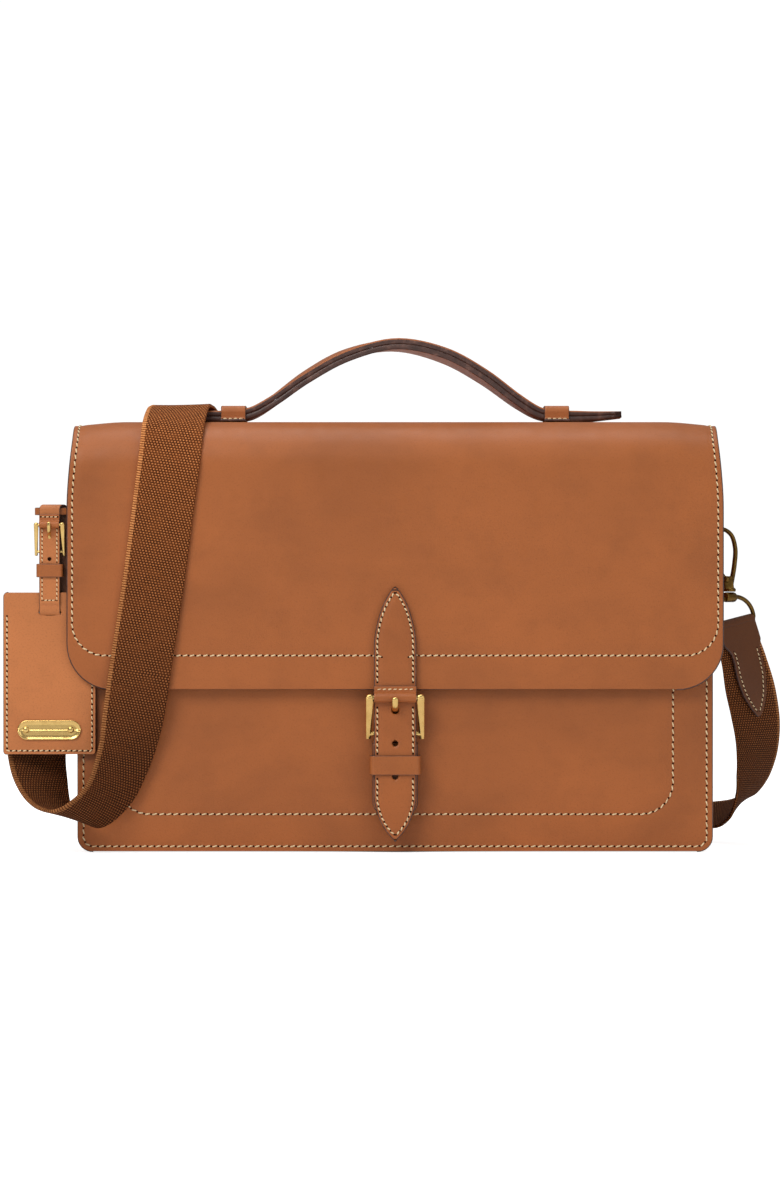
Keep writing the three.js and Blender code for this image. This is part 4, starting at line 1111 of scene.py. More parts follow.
def add_snap():
    """A turned magnetic snap under the strap."""
    low, high = box_of("snap_stud")
    centre = (low + high) / 2
    centre[1] = low[1]
    deep = high[1] - low[1]
    outline = [(0, 0.1), (0, 6.2), (0.3, 6.5), (1.1, 6.5), (1.5, 6.1), (1.7, 4.2)]
    outline += [(deep - 0.4, 4.0), (deep, 3.5), (deep, 0.1)]
    stud = turned(centre, (0, 1, 0), outline)
    place("snap_stud_turned", "flap", "polished_brass", [stud], [MAT["brass"]], ["snap_stud"])
    centre[1] = box_of("snap_socket")[1][1]
    outline = [(0, 0.1), (0, 8), (0.7, 8), (1.2, 7.4), (1.4, 6.6), (1.3, 5.2), (0.5, 4.8), (0.4, 0.1)]
    socket = turned(centre, (0, -1, 0), outline)
    place("snap_socket_turned", "case", "polished_brass", [socket], [MAT["brass"]], ["snap_socket"])


def band_loop(outer_x, outer_y, centre, wall, corner, z0, z1):
    """A flat band bent into a rounded rectangle round a vertical line, as a closed slab."""
    half_x, half_y = outer_x - wall / 2, outer_y - wall / 2
    ring = rounded_ring(half_x, half_y, corner)
    keep = np.concatenate([[True], np.linalg.norm(np.diff(ring, axis=0), axis=1) > 1e-6])
    ring = ring[keep] + np.array(centre)
    heights = z0 + (z1 - z0) * (columns(1, (0, 0.12, 0.3), 0.35) + 1) / 2
    grid = np.array([[(p[0], p[1], z) for z in heights[::-1]] for p in ring])
    return slab(grid, wall, closed=True)


def keeper_loop(name, wall, corner, inset):
    """A leather loop that fills a keeper's box, apart from an inset above and below."""
    low, high = box_of(name)
    half = (high - low) / 2
    centre = ((low[0] + high[0]) / 2, (low[1] + high[1]) / 2)
    return band_loop(half[0], half[1], centre, wall, corner, low[2] + inset, high[2] - inset)


def add_strap_keeper():
    """The loop that holds the closure strap's end."""
    loop = keeper_loop("strap_keeper", 1.4, 2.2, 0.5)
    place("strap_keeper_leather", "flap", "dark_leather", [loop], KEEPER_LEATHER, ["strap_keeper"])


# ---- buckles ----

TAG_X = -214.6

# Places are (Y, Z) in millimetres. bars holds the radii of the heel and top bars.
BUCKLE = {"x": 0.0, "heel": (-50.6, 74.0), "top": (-60.8, 96.5), "bars": (1.5, 1.4)}
BUCKLE.update(inner=13.6, outer=18.3, thick=1.55)
TAG_BUCKLE = {"x": TAG_X, "heel": (-47.2, 187.0), "top": (-53.0, 203.5), "bars": (0.9, 0.9)}
TAG_BUCKLE.update(inner=6.9, outer=9.5, thick=1.0)


def buckle_shells(buckle):
    """Two tapering legs with rounded heads, and the heel and top bars between them."""
    x, inner, outer, thick = (buckle[key] for key in ("x", "inner", "outer", "thick"))
    heel, top = np.array(buckle["heel"]), np.array(buckle["top"])
    down = unit(heel - top)
    lean = np.array([0, down[1], -down[0]])
    share = np.linspace(0, 1, 12)
    knob = (outer - inner) / 2
    wide = knob * (1.12 - 0.42 * share ** 0.8)
    ends = (top - down * 0.2) + share[:, None] * (heel - top + down * (thick * 1.3 + 1.2))
    shells = []
    for side in (-1, 1):
        centre = x + side * (outer - wide)
        line = np.stack([centre, ends[:, 0], ends[:, 1]], -1)
        taper = thick * (1.06 - 0.12 * share)
        shells.append(tube(line, lean, wide, taper, power=3.4, sides=20, square=True))
        head = line[:2] - (line[1] - line[0]) * 0.2
        shells.append(tube(head, lean, wide[0] * 0.98, thick, power=2.6, sides=20))
    for (y, z), radius in zip((heel, top), buckle["bars"]):
        along = np.linspace(x - outer + knob, x + outer - knob, 8)
        line = np.stack([along, np.full(8, y), np.full(8, z)], -1)
        shells.append(tube(line, (0, 0, 1), radius, radius))
    return shells


def wrap_shell(buckle, half, front, flange_top, ply):
    """Leather over the top bar: a sewn flange above, and a roll round the bar."""
    y, z = buckle["top"]
    radius = buckle["bars"][1] + 0.3 + ply / 2
    rest = front - ply / 2 - 0.15
    round_bar = [(-0.35, 0.98), (-0.92, 0.42), (-1, -0.1), (-0.72, -0.7), (0, -1), (0.7, -0.7)]
    corners = [(rest - 0.35, flange_top), (rest - 0.35, (flange_top + z + radius) / 2 + 0.4)]
    corners.append((rest - 0.5, z + radius + 1.1))
    corners += [(y + a * radius, z + b * radius) for a, b in round_bar]
    corners += [(min(y + radius, rest), z), (rest, z + radius * 0.9), (rest, z + radius + 0.9)]
    path = spline(corners, np.linspace(0, 1, 60))
    grid = wide_grid(path, half - 0.3, columns(1, (0, 0.06, 0.14), 0.25))
    grid[..., 0] += buckle["x"]
    return slab(grid, ply), rest - 0.35 - ply / 2


def prong_shell(buckle, corners, wide, thick):
    """A bent bar, and its knuckle round the heel bar."""
    path = spline(corners, np.linspace(0, 1, 28))
    line = np.stack([np.full(len(path), buckle["x"]), path[:, 0], path[:, 1]], -1)
    y, z = buckle["heel"]
    bar = buckle["bars"][0]
    knuckle = [(a * wide, bar + b) for a, b in ((-0.8, 0.5), (-0.7, 1.1), (0.7, 1.1), (0.8, 0.5))]
    return [tube(line, (1, 0, 0), thick, wide, power=2.6), turned((buckle["x"], y, z), (1, 0, 0), knuckle)]


def add_buckle():
    """The closure buckle with its leather roll and prong."""
    place("buckle_cast", "buckle", "polished_brass", buckle_shells(BUCKLE), [MAT["brass"]], ["buckle_frame"])
    wrap, face = wrap_shell(BUCKLE, 13.3, STRAP_LOW[1], 103.6, 1.15)
    place("buckle_wrap_leather", "buckle", "saddle_leather", [wrap], BOTH_SIDES, ["buckle_bar_wrap"])
    row = np.array([[-11.6, face + 0.1, 101.7], [11.6, face + 0.1, 101.7]])
    sewing = stitching(row, (0, -1, 0), STRAP_PITCH, 10, 0.4)
    place("buckle_wrap_stitching", "buckle", "saddle_leather", [sewing], SEWING)
    corners = [(-51.4, 77.5), (-51.5, 82), (-52.3, 85.6), (-55.5, 88)]
    corners += [(-60, 89.4), (-63.9, 91.9), (-65.1, 95.8)]
    prong = prong_shell(BUCKLE, corners, 1.95, 1.25)
    place("buckle_prong_cast", "prong", "polished_brass", prong, [MAT["brass"]], ["buckle_prong"])


# ---- handle ----

# Half of the handle's arch, X and Z
HANDLE_TOP = 318.7
HANDLE_ARM = [(31, 312), (56, 298.5), (78, 282.6), (91, 275.2), (102, 273.2), (120, 273), (142.9, 274.2)]
KEEPER_X = 102.0


def handle_grid(offset):
    """A grid along one layer of the handle, with a slight twist in each arm."""
    right = [(x, 0, z) for x, z in HANDLE_ARM]
    left = [(-x, 0, z) for x, z in HANDLE_ARM[::-1]]
    corners = left + [(0, 0, HANDLE_TOP)] + right
    centre = spline(corners, np.linspace(0, 1, 96))
    along = unit(np.gradient(centre, axis=0))
    x = centre[:, 0]
    twist = np.radians(np.where(x < 0, 8, 5.5)) * -np.sin(np.clip(x / 92, -1, 1) * np.pi)
    taper = 0.54 + 0.46 * np.minimum((HANDLE_ARM[-1][0] - np.abs(x)) / 30, 1)
    across = np.stack([0 * x, np.cos(twist), np.sin(twist)], -1)
    across = unit(across - along * np.sum(across * along, 1, keepdims=True))
    up = unit(np.cross(along, across))
    width = 12.1 - 1.2 * smooth(np.abs(x), 118, 143)
    shares = columns(12.1, (0, 0.6, 1.4, 2.4), 2.6)[::-1]
    middle = centre + up * (offset * taper)[:, None]
    return middle[:, None] + across[:, None] * (width[:, None] * shares)[..., None], taper


def add_handle():
    """Two layers of leather on the handle, each with its own mesh."""
    for name, offset, bare in (("outer", 1.8, 2), ("inner", -1.8, 0)):
        grid, taper = handle_grid(offset)
        thickness = np.repeat((3.5 * taper)[:, None], grid.shape[1], 1)
        leather = slab(grid, thickness, bulge=0.42, turns=6, bare=bare)
        node = f"handle_{name}"
        piece = place(f"{node}_leather", "handle", "saddle_leather", [leather], BOTH_SIDES, [node])
        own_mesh(piece)


def add_handle_keeper(name, x):
    """A leather loop over the handle, with both feet sewn to the top of the flap."""
    low, high = box_of(name)
    foot, base, top, wall = high[1], low[2], high[2], 1.3
    inside = 12.9 + wall / 2
    feet = [(-foot + 0.5, 0.75), (-foot + 3, 0.75), (-inside - 1.6, 0.85), (-inside - 0.2, 2.2), (-inside, 5)]
    corners = [(y, base + z) for y, z in feet]
    corners += [(-inside, top - 3.4), (-inside + 1.0, top - 1.3), (-inside + 3.2, top - wall / 2)]
    corners = np.array(corners + [(-y, z) for y, z in corners[::-1]])
    path = spline(corners, np.linspace(0, 1, 90))
    shares = columns(1, (0, 0.1, 0.22), 0.3)
    grid = wide_grid(path, (high[0] - low[0]) / 2 - 0.5, shares)
    grid[..., 0] += x
    place(f"{name}_leather", "flap", "dark_leather", [slab(grid, wall)], KEEPER_LEATHER, [name])
    row = np.array([[x - 6.6, -foot + 1.2, base + 1.7], [x + 6.6, -foot + 1.2, base + 1.7]])
    rear = row * (1, -1, 1)
    rows = [stitching(line, (0, -0.3 * side, 1), 3.2, 14) for line, side in ((row, 1), (rear, -1))]
    place(f"{name}_stitching", "flap", "dark_leather", rows, SEWING)


# ---- rings, hooks and eyes at both sides ----

SWIVEL_X = 212.1
RING_X, RING_Z, RING_HALF, RING_BOW, RING_TILT = 201.3, 218.0, 19.0, 196.4, 0.23
EYE_Z, EYE_TOP, EYE_TURN, EYE_TILT = 141.0, 158.7, 0.75, 0.17


def ring_tab_shell():
    """A strip of leather sewn to the gusset, with its lower end rolled round the ring's bar."""
    corners = [(198.3, 245), (198.3, 234), (198.5, 227), (199.8, 222.6), (202.2, 220.7), (203.9, 218.6)]
    corners += [(203.7, 216.4), (202, 215.3), (199.8, 215.8), (198.6, 217.6), (198.3, 219.8)]
    path = spline(corners, np.linspace(0, 1, 50))
    across = 10.6 * columns(1, (0, 0.06, 0.14), 0.25)[::-1]
    grid = np.array([[(p[0], y, p[1]) for y in across] for p in path])
    thickness = 2.4 - 1.1 * smooth(np.arange(50), 14, 22)
    return slab(grid, np.repeat(thickness[:, None], len(across), 1))


def ring_tab_sewing():
    """A box of stitches."""
    corners = ((-8.2, 228), (-8.2, 243), (8.2, 243), (8.2, 228), (-8.2, 228))
    box = np.array([(199.45, y, z) for y, z in corners])
    return [stitching(box[k : k + 2], (1, 0, 0), 3.4, 12, 0.38) for k in range(4)]


def ring_shell():
    """A D-ring: a straight bar and a bow that hangs from it and leans outward."""
    turn = np.linspace(np.pi, 2 * np.pi, 40)[1:-1]
    drop = RING_Z - 2.5 - RING_BOW
    line = [(RING_HALF, 2.5), (RING_HALF - 0.8, 0.6), (RING_HALF - 2.8, 0)]
    line += [(-y, hang) for y, hang in line[::-1]]
    line += [(RING_HALF * math.cos(a), 2.5 - drop * math.sin(a)) for a in turn]
    lean, level = math.sin(RING_TILT), math.cos(RING_TILT)
    leant = [(RING_X + hang * lean, y, RING_Z - hang * level) for y, hang in line]
    return tube(leant, (math.cos(RING_TILT), 0, math.sin(RING_TILT)), 1.45, 1.45, closed=True)


def hook_shells():
    """A snap hook: collar, two cheeks with a rivet, and an arc over the ring's bow."""
    corners = [(0.6, 165), (1.6, 170), (3.2, 180), (3.6, 190), (0.8, 198.6), (-4.8, 201.8)]
    corners += [(-8.8, 197.6), (-8.9, 190.4)]
    line = spline([(SWIVEL_X + x, 0, z) for x, z in corners], np.linspace(0, 1, 44))
    girth = 1.6 - 0.6 * np.linspace(0, 1, 44) ** 2
    shells = [tube(line, (0, 1, 0), girth, girth * 1.12)]
    collar = [(0, 0.1), (0, 3.6), (0.4, 4.0), (1.5, 4.1), (2.2, 3.6), (2.6, 2.9), (3.3, 2.4), (3.3, 0.1)]
    shells.append(turned((SWIVEL_X, 0, 162.2), (0, 0, 1), collar))
    for side in (-1, 1):
        cheek = [(SWIVEL_X + x, side * 2.6, z) for x, z in ((-0.4, 164.4), (-0.9, 168), (-1.4, 171.2))]
        shells.append(tube(spline(cheek, np.linspace(0, 1, 9)), (0, 1, 0), 3.1, 0.75, power=3, sides=24))
    head = [(4.2, 0.1), (4.1, 1.0), (3.7, 1.7), (3.2, 2.0), (3.2, 0.9)]
    rivet = [(-x, radius) for x, radius in head] + head[::-1]
    shells.append(turned((SWIVEL_X - 2, 0, 170), (0, 1, 0), rivet))
    return shells


def gate_shells():
    """The sprung gate that shuts the hook, and its eye round the rivet."""
    corners = [(-2.4, 170), (-6.4, 176), (-8.8, 182), (-9, 189.4)]
    line = spline([(SWIVEL_X + x, 0, z) for x, z in corners], np.linspace(0, 1, 20))
    girth = 1.3 - 0.3 * np.linspace(0, 1, 20)
    eye = [(-1.4, 1.2), (-1.4, 2.0), (-1.1, 2.2), (1.1, 2.2), (1.4, 2.0), (1.4, 1.2)]
    return [tube(line, (0, 1, 0), girth, girth), turned((SWIVEL_X - 2, 0, 170), (0, 1, 0), eye)]


def on_eye(a, z, side=1):
    """A point of the eye's loop, which is turned about the swivel and tilted about the barrel."""
    drop = EYE_TOP - z
    out = a * math.cos(EYE_TILT) + drop * math.sin(EYE_TILT)
    up = a * math.sin(EYE_TILT) - drop * math.cos(EYE_TILT)
    return np.array([side * (SWIVEL_X + out * math.cos(EYE_TURN)), out * math.sin(EYE_TURN), EYE_TOP + up])


def eye_shells():
    """A loop with a straight bar, and the barrel that carries the swivel."""
    half = 20.5
    turn = np.linspace(0, np.pi, 34)[1:-1]
    line = [(-half, EYE_Z + 2), (-half + 0.6, EYE_Z + 0.6), (-half + 2, EYE_Z)]
    line += [(-a, z) for a, z in line[::-1]]
    rise = EYE_TOP - EYE_Z - 2
    line += [(half * math.cos(a), EYE_Z + 2 + rise * math.sin(a)) for a in turn]
    way = np.array([math.cos(EYE_TURN), math.sin(EYE_TURN), 0])
    half_barrel = [(4.6, 0.1), (4.6, 2.5), (4.2, 3.0), (3.2, 3.2)]
    barrel = [(-x, radius) for x, radius in half_barrel] + half_barrel[::-1]
    loop = tube([on_eye(a, z) for a, z in line], np.cross(way, (0, 0, 1)), 1.4, 1.4, closed=True)
    return [loop, turned((SWIVEL_X, 0, EYE_TOP), way, barrel)]


def on_side(shells, end):
    """The shells as they are at the right end, and mirrored at the left."""
    return shells if end == "right" else [mirrored(shell) for shell in shells]


def add_side_hardware():
    """At each end a leather tab, a ring, a snap hook with its gate, and the strap's eye."""
    for end in ("right", "left"):
        node = f"ring_tab_{end}"
        tab = on_side([ring_tab_shell()], end)
        place(f"{node}_leather", "case", "saddle_leather", tab, BOTH_SIDES, [node])
        place(f"{node}_stitching", "case", "saddle_leather", on_side(ring_tab_sewing(), end), SEWING)
        castings = {
            f"side_ring_{end}": ([ring_shell()], f"ring_{end}"),
            f"hook_{end}": (hook_shells(), f"hook_{end}"),
            f"gate_{end}": (gate_shells(), f"gate_{end}"),
            f"eye_{end}": (eye_shells(), "case"),
        }
        for node, (shells, body) in castings.items():
            place(f"{node}_cast", body, "aged_brass", on_side(shells, end), [MAT["aged"]], [node])


# ---- shoulder strap ----

# Each row: the strap's centre, then the direction of its width, in millimetres.
STRAP_RUN = [
    ((-216.7, 1.5, 133.4), (0.72, -0.67, -0.17)),
    ((-219.5, -2, 118), (0.79, -0.61, -0.08)),
    ((-223, -11, 98), (0.9, -0.4, 0)),
    ((-225.5, -22, 79), (0.97, -0.2, 0)),
    ((-224.1, -33, 59.1), (0.9, 0.43, -0.02)),
    ((-221.6, -39, 46.6), (0.83, 0.55, -0.04)),
    ((-217.4, -46, 35.6), (0.68, 0.73, -0.04)),
    ((-212.6, -54.5, 28.9), (0.54, 0.83, -0.09)),
    ((-207.6, -62.5, 25.7), (0.47, 0.87, -0.14)),
    ((-201, -64.5, 22.9), (0.53, 0.81, -0.24)),
    ((-194.3, -64.5, 22.7), (0.55, 0.75, -0.35)),
    ((-188.3, -64, 25.8), (0.56, 0.73, -0.4)),
    ((-182, -63, 31.2), (0.61, 0.7, -0.37)),
    ((-175.5, -62, 39.4), (0.7, 0.65, -0.3)),
    ((-169.8, -60.5, 52.8), (0.79, 0.57, -0.21)),
    ((-165.3, -59.3, 67.5), (0.87, 0.46, -0.16)),
    ((-162.3, -58, 84), (0.96, 0.22, -0.17)),
    ((-160, -57, 99), (0.98, 0.08, -0.17)),
    ((-158.3, -56.3, 112), (0.987, 0, -0.16)),
    ((-149.5, -55.6, 170), (0.987, 0, -0.16)),
    ((-142.3, -55.6, 226), (0.987, 0, -0.16)),
    ((-140, -56, 243), (0.987, 0.02, -0.14)),
    ((-138, -49.5, 264.5), (0.99, 0.1, -0.1)),
    ((-136, -27, 277), (0.99, 0.12, 0)),
    ((-134, 0, 279.4), (0.99, 0.12, 0)),
    ((-132, 27, 277), (0.99, 0.12, 0)),
    ((-130.5, 44.5, 268.5), (0.99, 0.11, 0.08)),
    ((-128, 48.6, 250), (0.98, 0, 0.18)),
    ((-121, 48.2, 220), (0.97, 0, 0.24)),
    ((-100, 48.4, 160), (0.92, 0, 0.38)),
    ((-62, 50, 98), (0.84, 0, 0.54)),
    ((-8, 53, 49), (0.6, 0, 0.8)),
    ((58, 56.5, 26), (0.2, -0.1, 0.97)),
    ((118, 60.5, 20.5), (0, -0.55, 0.83)),
    ((152, 66.5, 19.5), (0, -0.9, 0.42)),
    ((182, 70, 18.5), (-0.02, -1, -0.05)),
    ((207.7, 62, 17.2), (-0.09, -0.92, -0.37)),
    ((218.4, 49, 22.2), (-0.18, -0.95, -0.26)),
    ((226.1, 38, 32), (-0.4, -0.92, 0.01)),
    ((229.7, 29, 44.1), (-0.6, -0.8, 0.04)),
    ((231.3, 20, 56.9), (-0.71, -0.7, 0)),
    ((231.1, 13, 69.8), (-0.78, -0.62, -0.02)),
    ((229.5, 8, 82.1), (-0.84, -0.55, -0.04)),
    ((226.1, 4, 98.6), (-0.86, -0.51, -0.07)),
    ((221.5, 2, 118.6), (-0.78, -0.62, -0.1)),
    ((216.7, 1.5, 133.4), (-0.72, -0.67, -0.17)),
]
WEB_HALF = 19.0
WEB_THICK = 2.2
# Rows where the front run starts and ends, and the share of the run that a leather tab covers
FRONT_FROM = 18.0
TOP_SPLIT = 24.0
TAB_SHARE = 8 / 124
ROLL_RADIUS = 3.2


def run_at(places):
    """(centres, directions of the width, directions off the outer face) at places along the run's rows."""
    shares = np.asarray(places, float) / (len(STRAP_RUN) - 1)
    centre = spline([row[0] for row in STRAP_RUN], shares)
    ahead = spline([row[0] for row in STRAP_RUN], np.clip(shares + 1e-4, 0, 1))
    behind = spline([row[0] for row in STRAP_RUN], np.clip(shares - 1e-4, 0, 1))
    along = unit(ahead - behind)
    across = unit(spline([row[1] for row in STRAP_RUN], shares))
    return centre, across, unit(np.cross(along, across))


def run_length(first, last):
    """The strap's length in metres between two places along the run's rows."""
    if last <= first:
        return 0.0
    centre = run_at(np.linspace(first, last, 1500))[0]
    return float(np.sum(np.linalg.norm(np.diff(centre, axis=0), axis=1))) * MM


def webbing_shell(first, last, flush):
    """One length of the strap, slightly cupped across its width."""
    places = np.linspace(first, last, max(12, round(run_length(first, last) / (2.2 * MM))))
    centre, across, off = run_at(places)
    shares = columns(WEB_HALF, (0, 0.7, 1.5), 3.4)
    cup = 0.25 * (1 - shares**2)
    grid = centre[:, None] + across[:, None] * ((WEB_HALF - 0.5) * shares)[None, :, None]
    grid = grid + off[:, None] * cup[None, :, None]
    shell = slab(grid, WEB_THICK, flush=flush, bulge=0.6)
    shell.flat[:, 1] += run_length(0, first)
    return shell


def add_webbing():
    """The strap in three lengths: the left loop, the front run, and the run behind to the right side."""
    last = len(STRAP_RUN) - 1
    lengths = (("left", 0.0, FRONT_FROM, ("end",), "gusset_leather"),
               ("front", FRONT_FROM, TOP_SPLIT, ("start", "end"), "flap_leather"),
               ("rear", TOP_SPLIT, last, ("start",), "back_leather"))
    made = {}
    for name, first, end, flush, under in lengths:
        shell = webbing_shell(first, end, flush)
        body = "flap" if name == "front" else None
        nodes = ["shoulder_webbing"] if name == "front" else []
        piece = place(f"webbing_{name}", body, "woven_webbing", [shell], [MAT["webbing"]], nodes, 0.0)
        made[name] = piece
    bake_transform(made["left"])
    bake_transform(made["rear"])


def tab_half(share):
    """Half of the leather tab's width from the eye's bar to its point."""
    places = (0, 0.1, 0.22, 0.5, 0.72, 0.87, 0.96, 1)
    return np.interp(share, places, (17.5, 17.0, 12.8, 12.0, 9.1, 5.6, 2.8, 1.0))


def joined(start, way, grid, reaches, steps=5):
    """The grid with rows before it that lead to it from a straight line through start."""
    line = start + way * reaches[:, None]
    mixes = [line * (1 - k / steps) + grid[0] * (k / steps) for k in range(steps)]
    return np.concatenate([mixes, grid])


def add_strap_tab(end, side):
    """A spear of dark leather sewn over the strap's end, and its roll round the eye's bar."""
    last = len(STRAP_RUN) - 1
    reach = TAB_SHARE * last
    start = last if side > 0 else 0
    share = np.linspace(0, 1, 40) ** 0.92
    centre, across, off = run_at(start - side * reach * share)
    shares = columns(1, (0, 0.05, 0.11, 0.18), 0.2) * -side
    lift = 3.1
    reaches = (tab_half(share) - 0.5)[:, None] * shares
    grid = centre[:, None] + across[:, None] * reaches[..., None] + off[:, None] * lift
    bar = on_eye(0, EYE_Z, side)
    way = on_eye(1, EYE_Z, side) - bar
    outward = np.array([side * math.sin(EYE_TURN), -math.cos(EYE_TURN), 0])
    ring = np.radians(np.linspace(0, 360, 33)[:-1])
    rims = [outward * math.cos(t) + np.array([0, 0, math.sin(t)]) for t in ring]
    roll = np.array([[bar + way * a + ROLL_RADIUS * rim for a in 17.2 * shares * side] for rim in rims])
    reaches = 17.0 * shares * np.sign(across[0] @ way)
    front = joined(bar + outward * ROLL_RADIUS, way, grid, reaches)
    back = centre[0] + across[0] * (17.0 * shares)[:, None] - off[0] * 2.6
    back = joined(bar - outward * ROLL_RADIUS, way, back[None], reaches)
    shells = [slab(front, 2.0), slab(back, 1.8), slab(roll, 1.8, closed=True)]
    place(f"strap_tab_{end}_leather", "case", "dark_leather", shells, TAB_LEATHER, [f"strap_tab_{end}"])
    rows = []
    inner = np.maximum(tab_half(share) - 2.8, 0.2)
    keep = (share > 0.2) & (share < 0.93)
    for edge in (-1, 1):
        line = (centre + across * (inner * edge)[:, None] + off * (lift + 1.0))[keep]
        rows.append(stitching(line, off[keep], 3.0, 14, 0.36, 0.5))
    place(f"strap_tab_{end}_stitching", "case", "dark_leather", rows, SEWING)


# ---- luggage tag ----

# Radii of the tag's lower and upper corners
TAG_FOOT = 1.6
TAG_HEAD = 2.6


def tag_grid(low, high):
    """A grid over one leather of the tag, which fills a box."""
    half = (high[0] - low[0]) / 2
    middle = (high[0] + low[0]) / 2
    tall = high[2] - low[2]
    head = tall - corner_rows(TAG_HEAD, 5)[::-1]
    rows = np.concatenate([corner_rows(TAG_FOOT, 5), np.arange(4, tall - 5, 2.5), head])
    foot_half = corner_half(rows, half, TAG_FOOT)
    head_half = corner_half(tall - rows, half, TAG_HEAD)
    width = np.where(rows < 6, foot_half, head_half) - 0.5
    x = middle + width[:, None] * columns(half, (0, 0.6, 1.2, 2.0, 2.7, 3.4, 4.6), 3)
    z = np.repeat(low[2] + 0.4 + rows[:, None] * (tall - 0.8) / tall, x.shape[1], 1)
    return np.stack([x, np.full(x.shape, (low[1] + high[1]) / 2), z], -1)


def tag_seam(low, high, face):
    """The stitch line: down one side, along the bottom and up the other."""
    middle = (low[0] + high[0]) / 2
    line = u_line((high[0] - low[0]) / 2 - 2.5, low[2] + 2.5, 147, 1.2)
    return np.stack([line[:, 0] + middle, np.full(len(line), face), line[:, 1]], -1)


def add_tag():
    """Two leathers sewn together, with a slot for the strap and a brass plate."""
    low, high = box_of("tag_front")
    line = tag_seam(low, high, low[1])
    for name, presses in (("tag_front", [(line, 0.3, 1.0)]), ("tag_back", [])):
        low, high = box_of(name)
        leather = slab(tag_grid(low, high), 1.62, presses=presses)
        piece = place(f"{name}_leather", "tag", "saddle_leather", [leather], TAG_LEATHER, [name])
        punch(piece, [((TAG_X, (low[1] + high[1]) / 2, 149.4), (0, 1, 0), 7.0, 2.2)], MAT["edge"])
    sewing = stitching(line + (0, 0.05, 0), (0, -1, 0), 3.4, 16, 0.44)
    place("tag_stitching", "tag", "saddle_leather", [sewing], SEWING)
    add_tag_plate()


def add_tag_plate():
    """A blank brass plate with a raised rim, held by two rivets."""
    low, high = box_of("tag_plate")
    half_x, half_z = (high[0] - low[0]) / 2, (high[2] - low[2]) / 2
    centre = ((high[0] + low[0]) / 2, (high[2] + low[2]) / 2)
    face = low[1]
    steps = [(0, high[1]), (0, face + 0.25), (0.25, face), (0.85, face), (1.15, face + 0.3), (3, face + 0.3)]
    rings = []
    for inset, depth in steps:
        ring = rounded_ring(half_x, half_z, half_z, inset)
        depths = np.full(len(ring), depth)
        rings.append(np.stack([ring[:, 0] + centre[0], depths, ring[:, 1] + centre[1]], -1))
    place("tag_plate_cast", "tag", "polished_brass", [capped(rings)], [MAT["brass"]], ["tag_plate"])
    for name in ("tag_rivet_left", "tag_rivet_right"):
        middle = sum(box_of(name)) / 2
        head = [(-0.2, 0.1), (-0.2, 2.0), (0.35, 2.0), (0.8, 1.6), (1.05, 0.9), (1.1, 0.1)]
        rivet = turned((middle[0], high[1] - 0.7, middle[2]), (0, -1, 0), head, 20)
        place(f"{name}_turned", "tag", "polished_brass", [rivet], [MAT["brass"]], [name])


def add_tag_strap():
    """A closed loop of leather through the tag's slot. Its rear arm leans toward the bag."""
    low, high = box_of("tag_strap")
    wall = 1.6
    front, back = low[1] + wall / 2, high[1] - wall / 2
    base, top = low[2] + wall / 2, high[2] - wall / 2
    depth = back - front
    soft, hard = 2.4, 1.8
    arm = (top - base - hard - soft, 0)
    upper, lower = (soft * math.pi / 2, -90), (hard * math.pi / 2, -90)
    over, under = (depth - 2 * soft, 0), (depth - 2 * hard, 0)
    path = Profile((front, base + hard), 90, arm, upper, over, upper, arm, lower, under, lower)
    point = path.at(np.linspace(0, path.length, 221)[:-1])[0]
    step = 0.9 * (point[:, 1] < 154.4) * (point[:, 0] < front + hard)
    lean = 4.5 * np.clip((point[:, 0] - front) / depth, 0, 1)
    middle = (low[0] + high[0]) / 2
    half = (high[0] - low[0]) / 2 - 0.4
    shares = columns(1, (0, 0.08, 0.18), 0.3)
    rows = zip(middle + lean, point[:, 0] + step, point[:, 1])
    grid = np.array([[(x + half * share, y, z) for share in shares] for x, y, z in rows])
    leather = slab(grid, wall - 0.1, closed=True)
    # Painted shade: the loop's inside, seen between its arms and the flap, is dark tab leather.
    piece = place("tag_strap_leather", "case", "saddle_leather", [leather], TAG_STRAP_LEATHER_SHADED_INSIDE, ["tag_strap"])
    punch(piece, [((middle, low[1], 182.4), (0, 1, 0), 1.2, 1.2)], MAT["edge"])
    face = low[1] + 0.08
    lines = [[(middle + a * (half - 1.5), face, z) for z in np.linspace(z0, z1, 12)]
             for a in (-1, 1) for z0, z1 in ((156.6, 170.6), (180.4, 201.5))]
    lines.append([(middle + x, face, 156.8) for x in np.linspace(-3.6, 3.6, 6)])
    rows = [stitching(np.array(line), (0, -1, 0), 2.6, 14, 0.36, 0.45) for line in lines]
    place("tag_strap_stitching", "case", "saddle_leather", rows, SEWING)
    loop = keeper_loop("tag_keeper", 1.25, 1.6, 0.4)
    place("tag_keeper_leather", "case", "dark_leather", [loop], KEEPER_LEATHER, ["tag_keeper"])


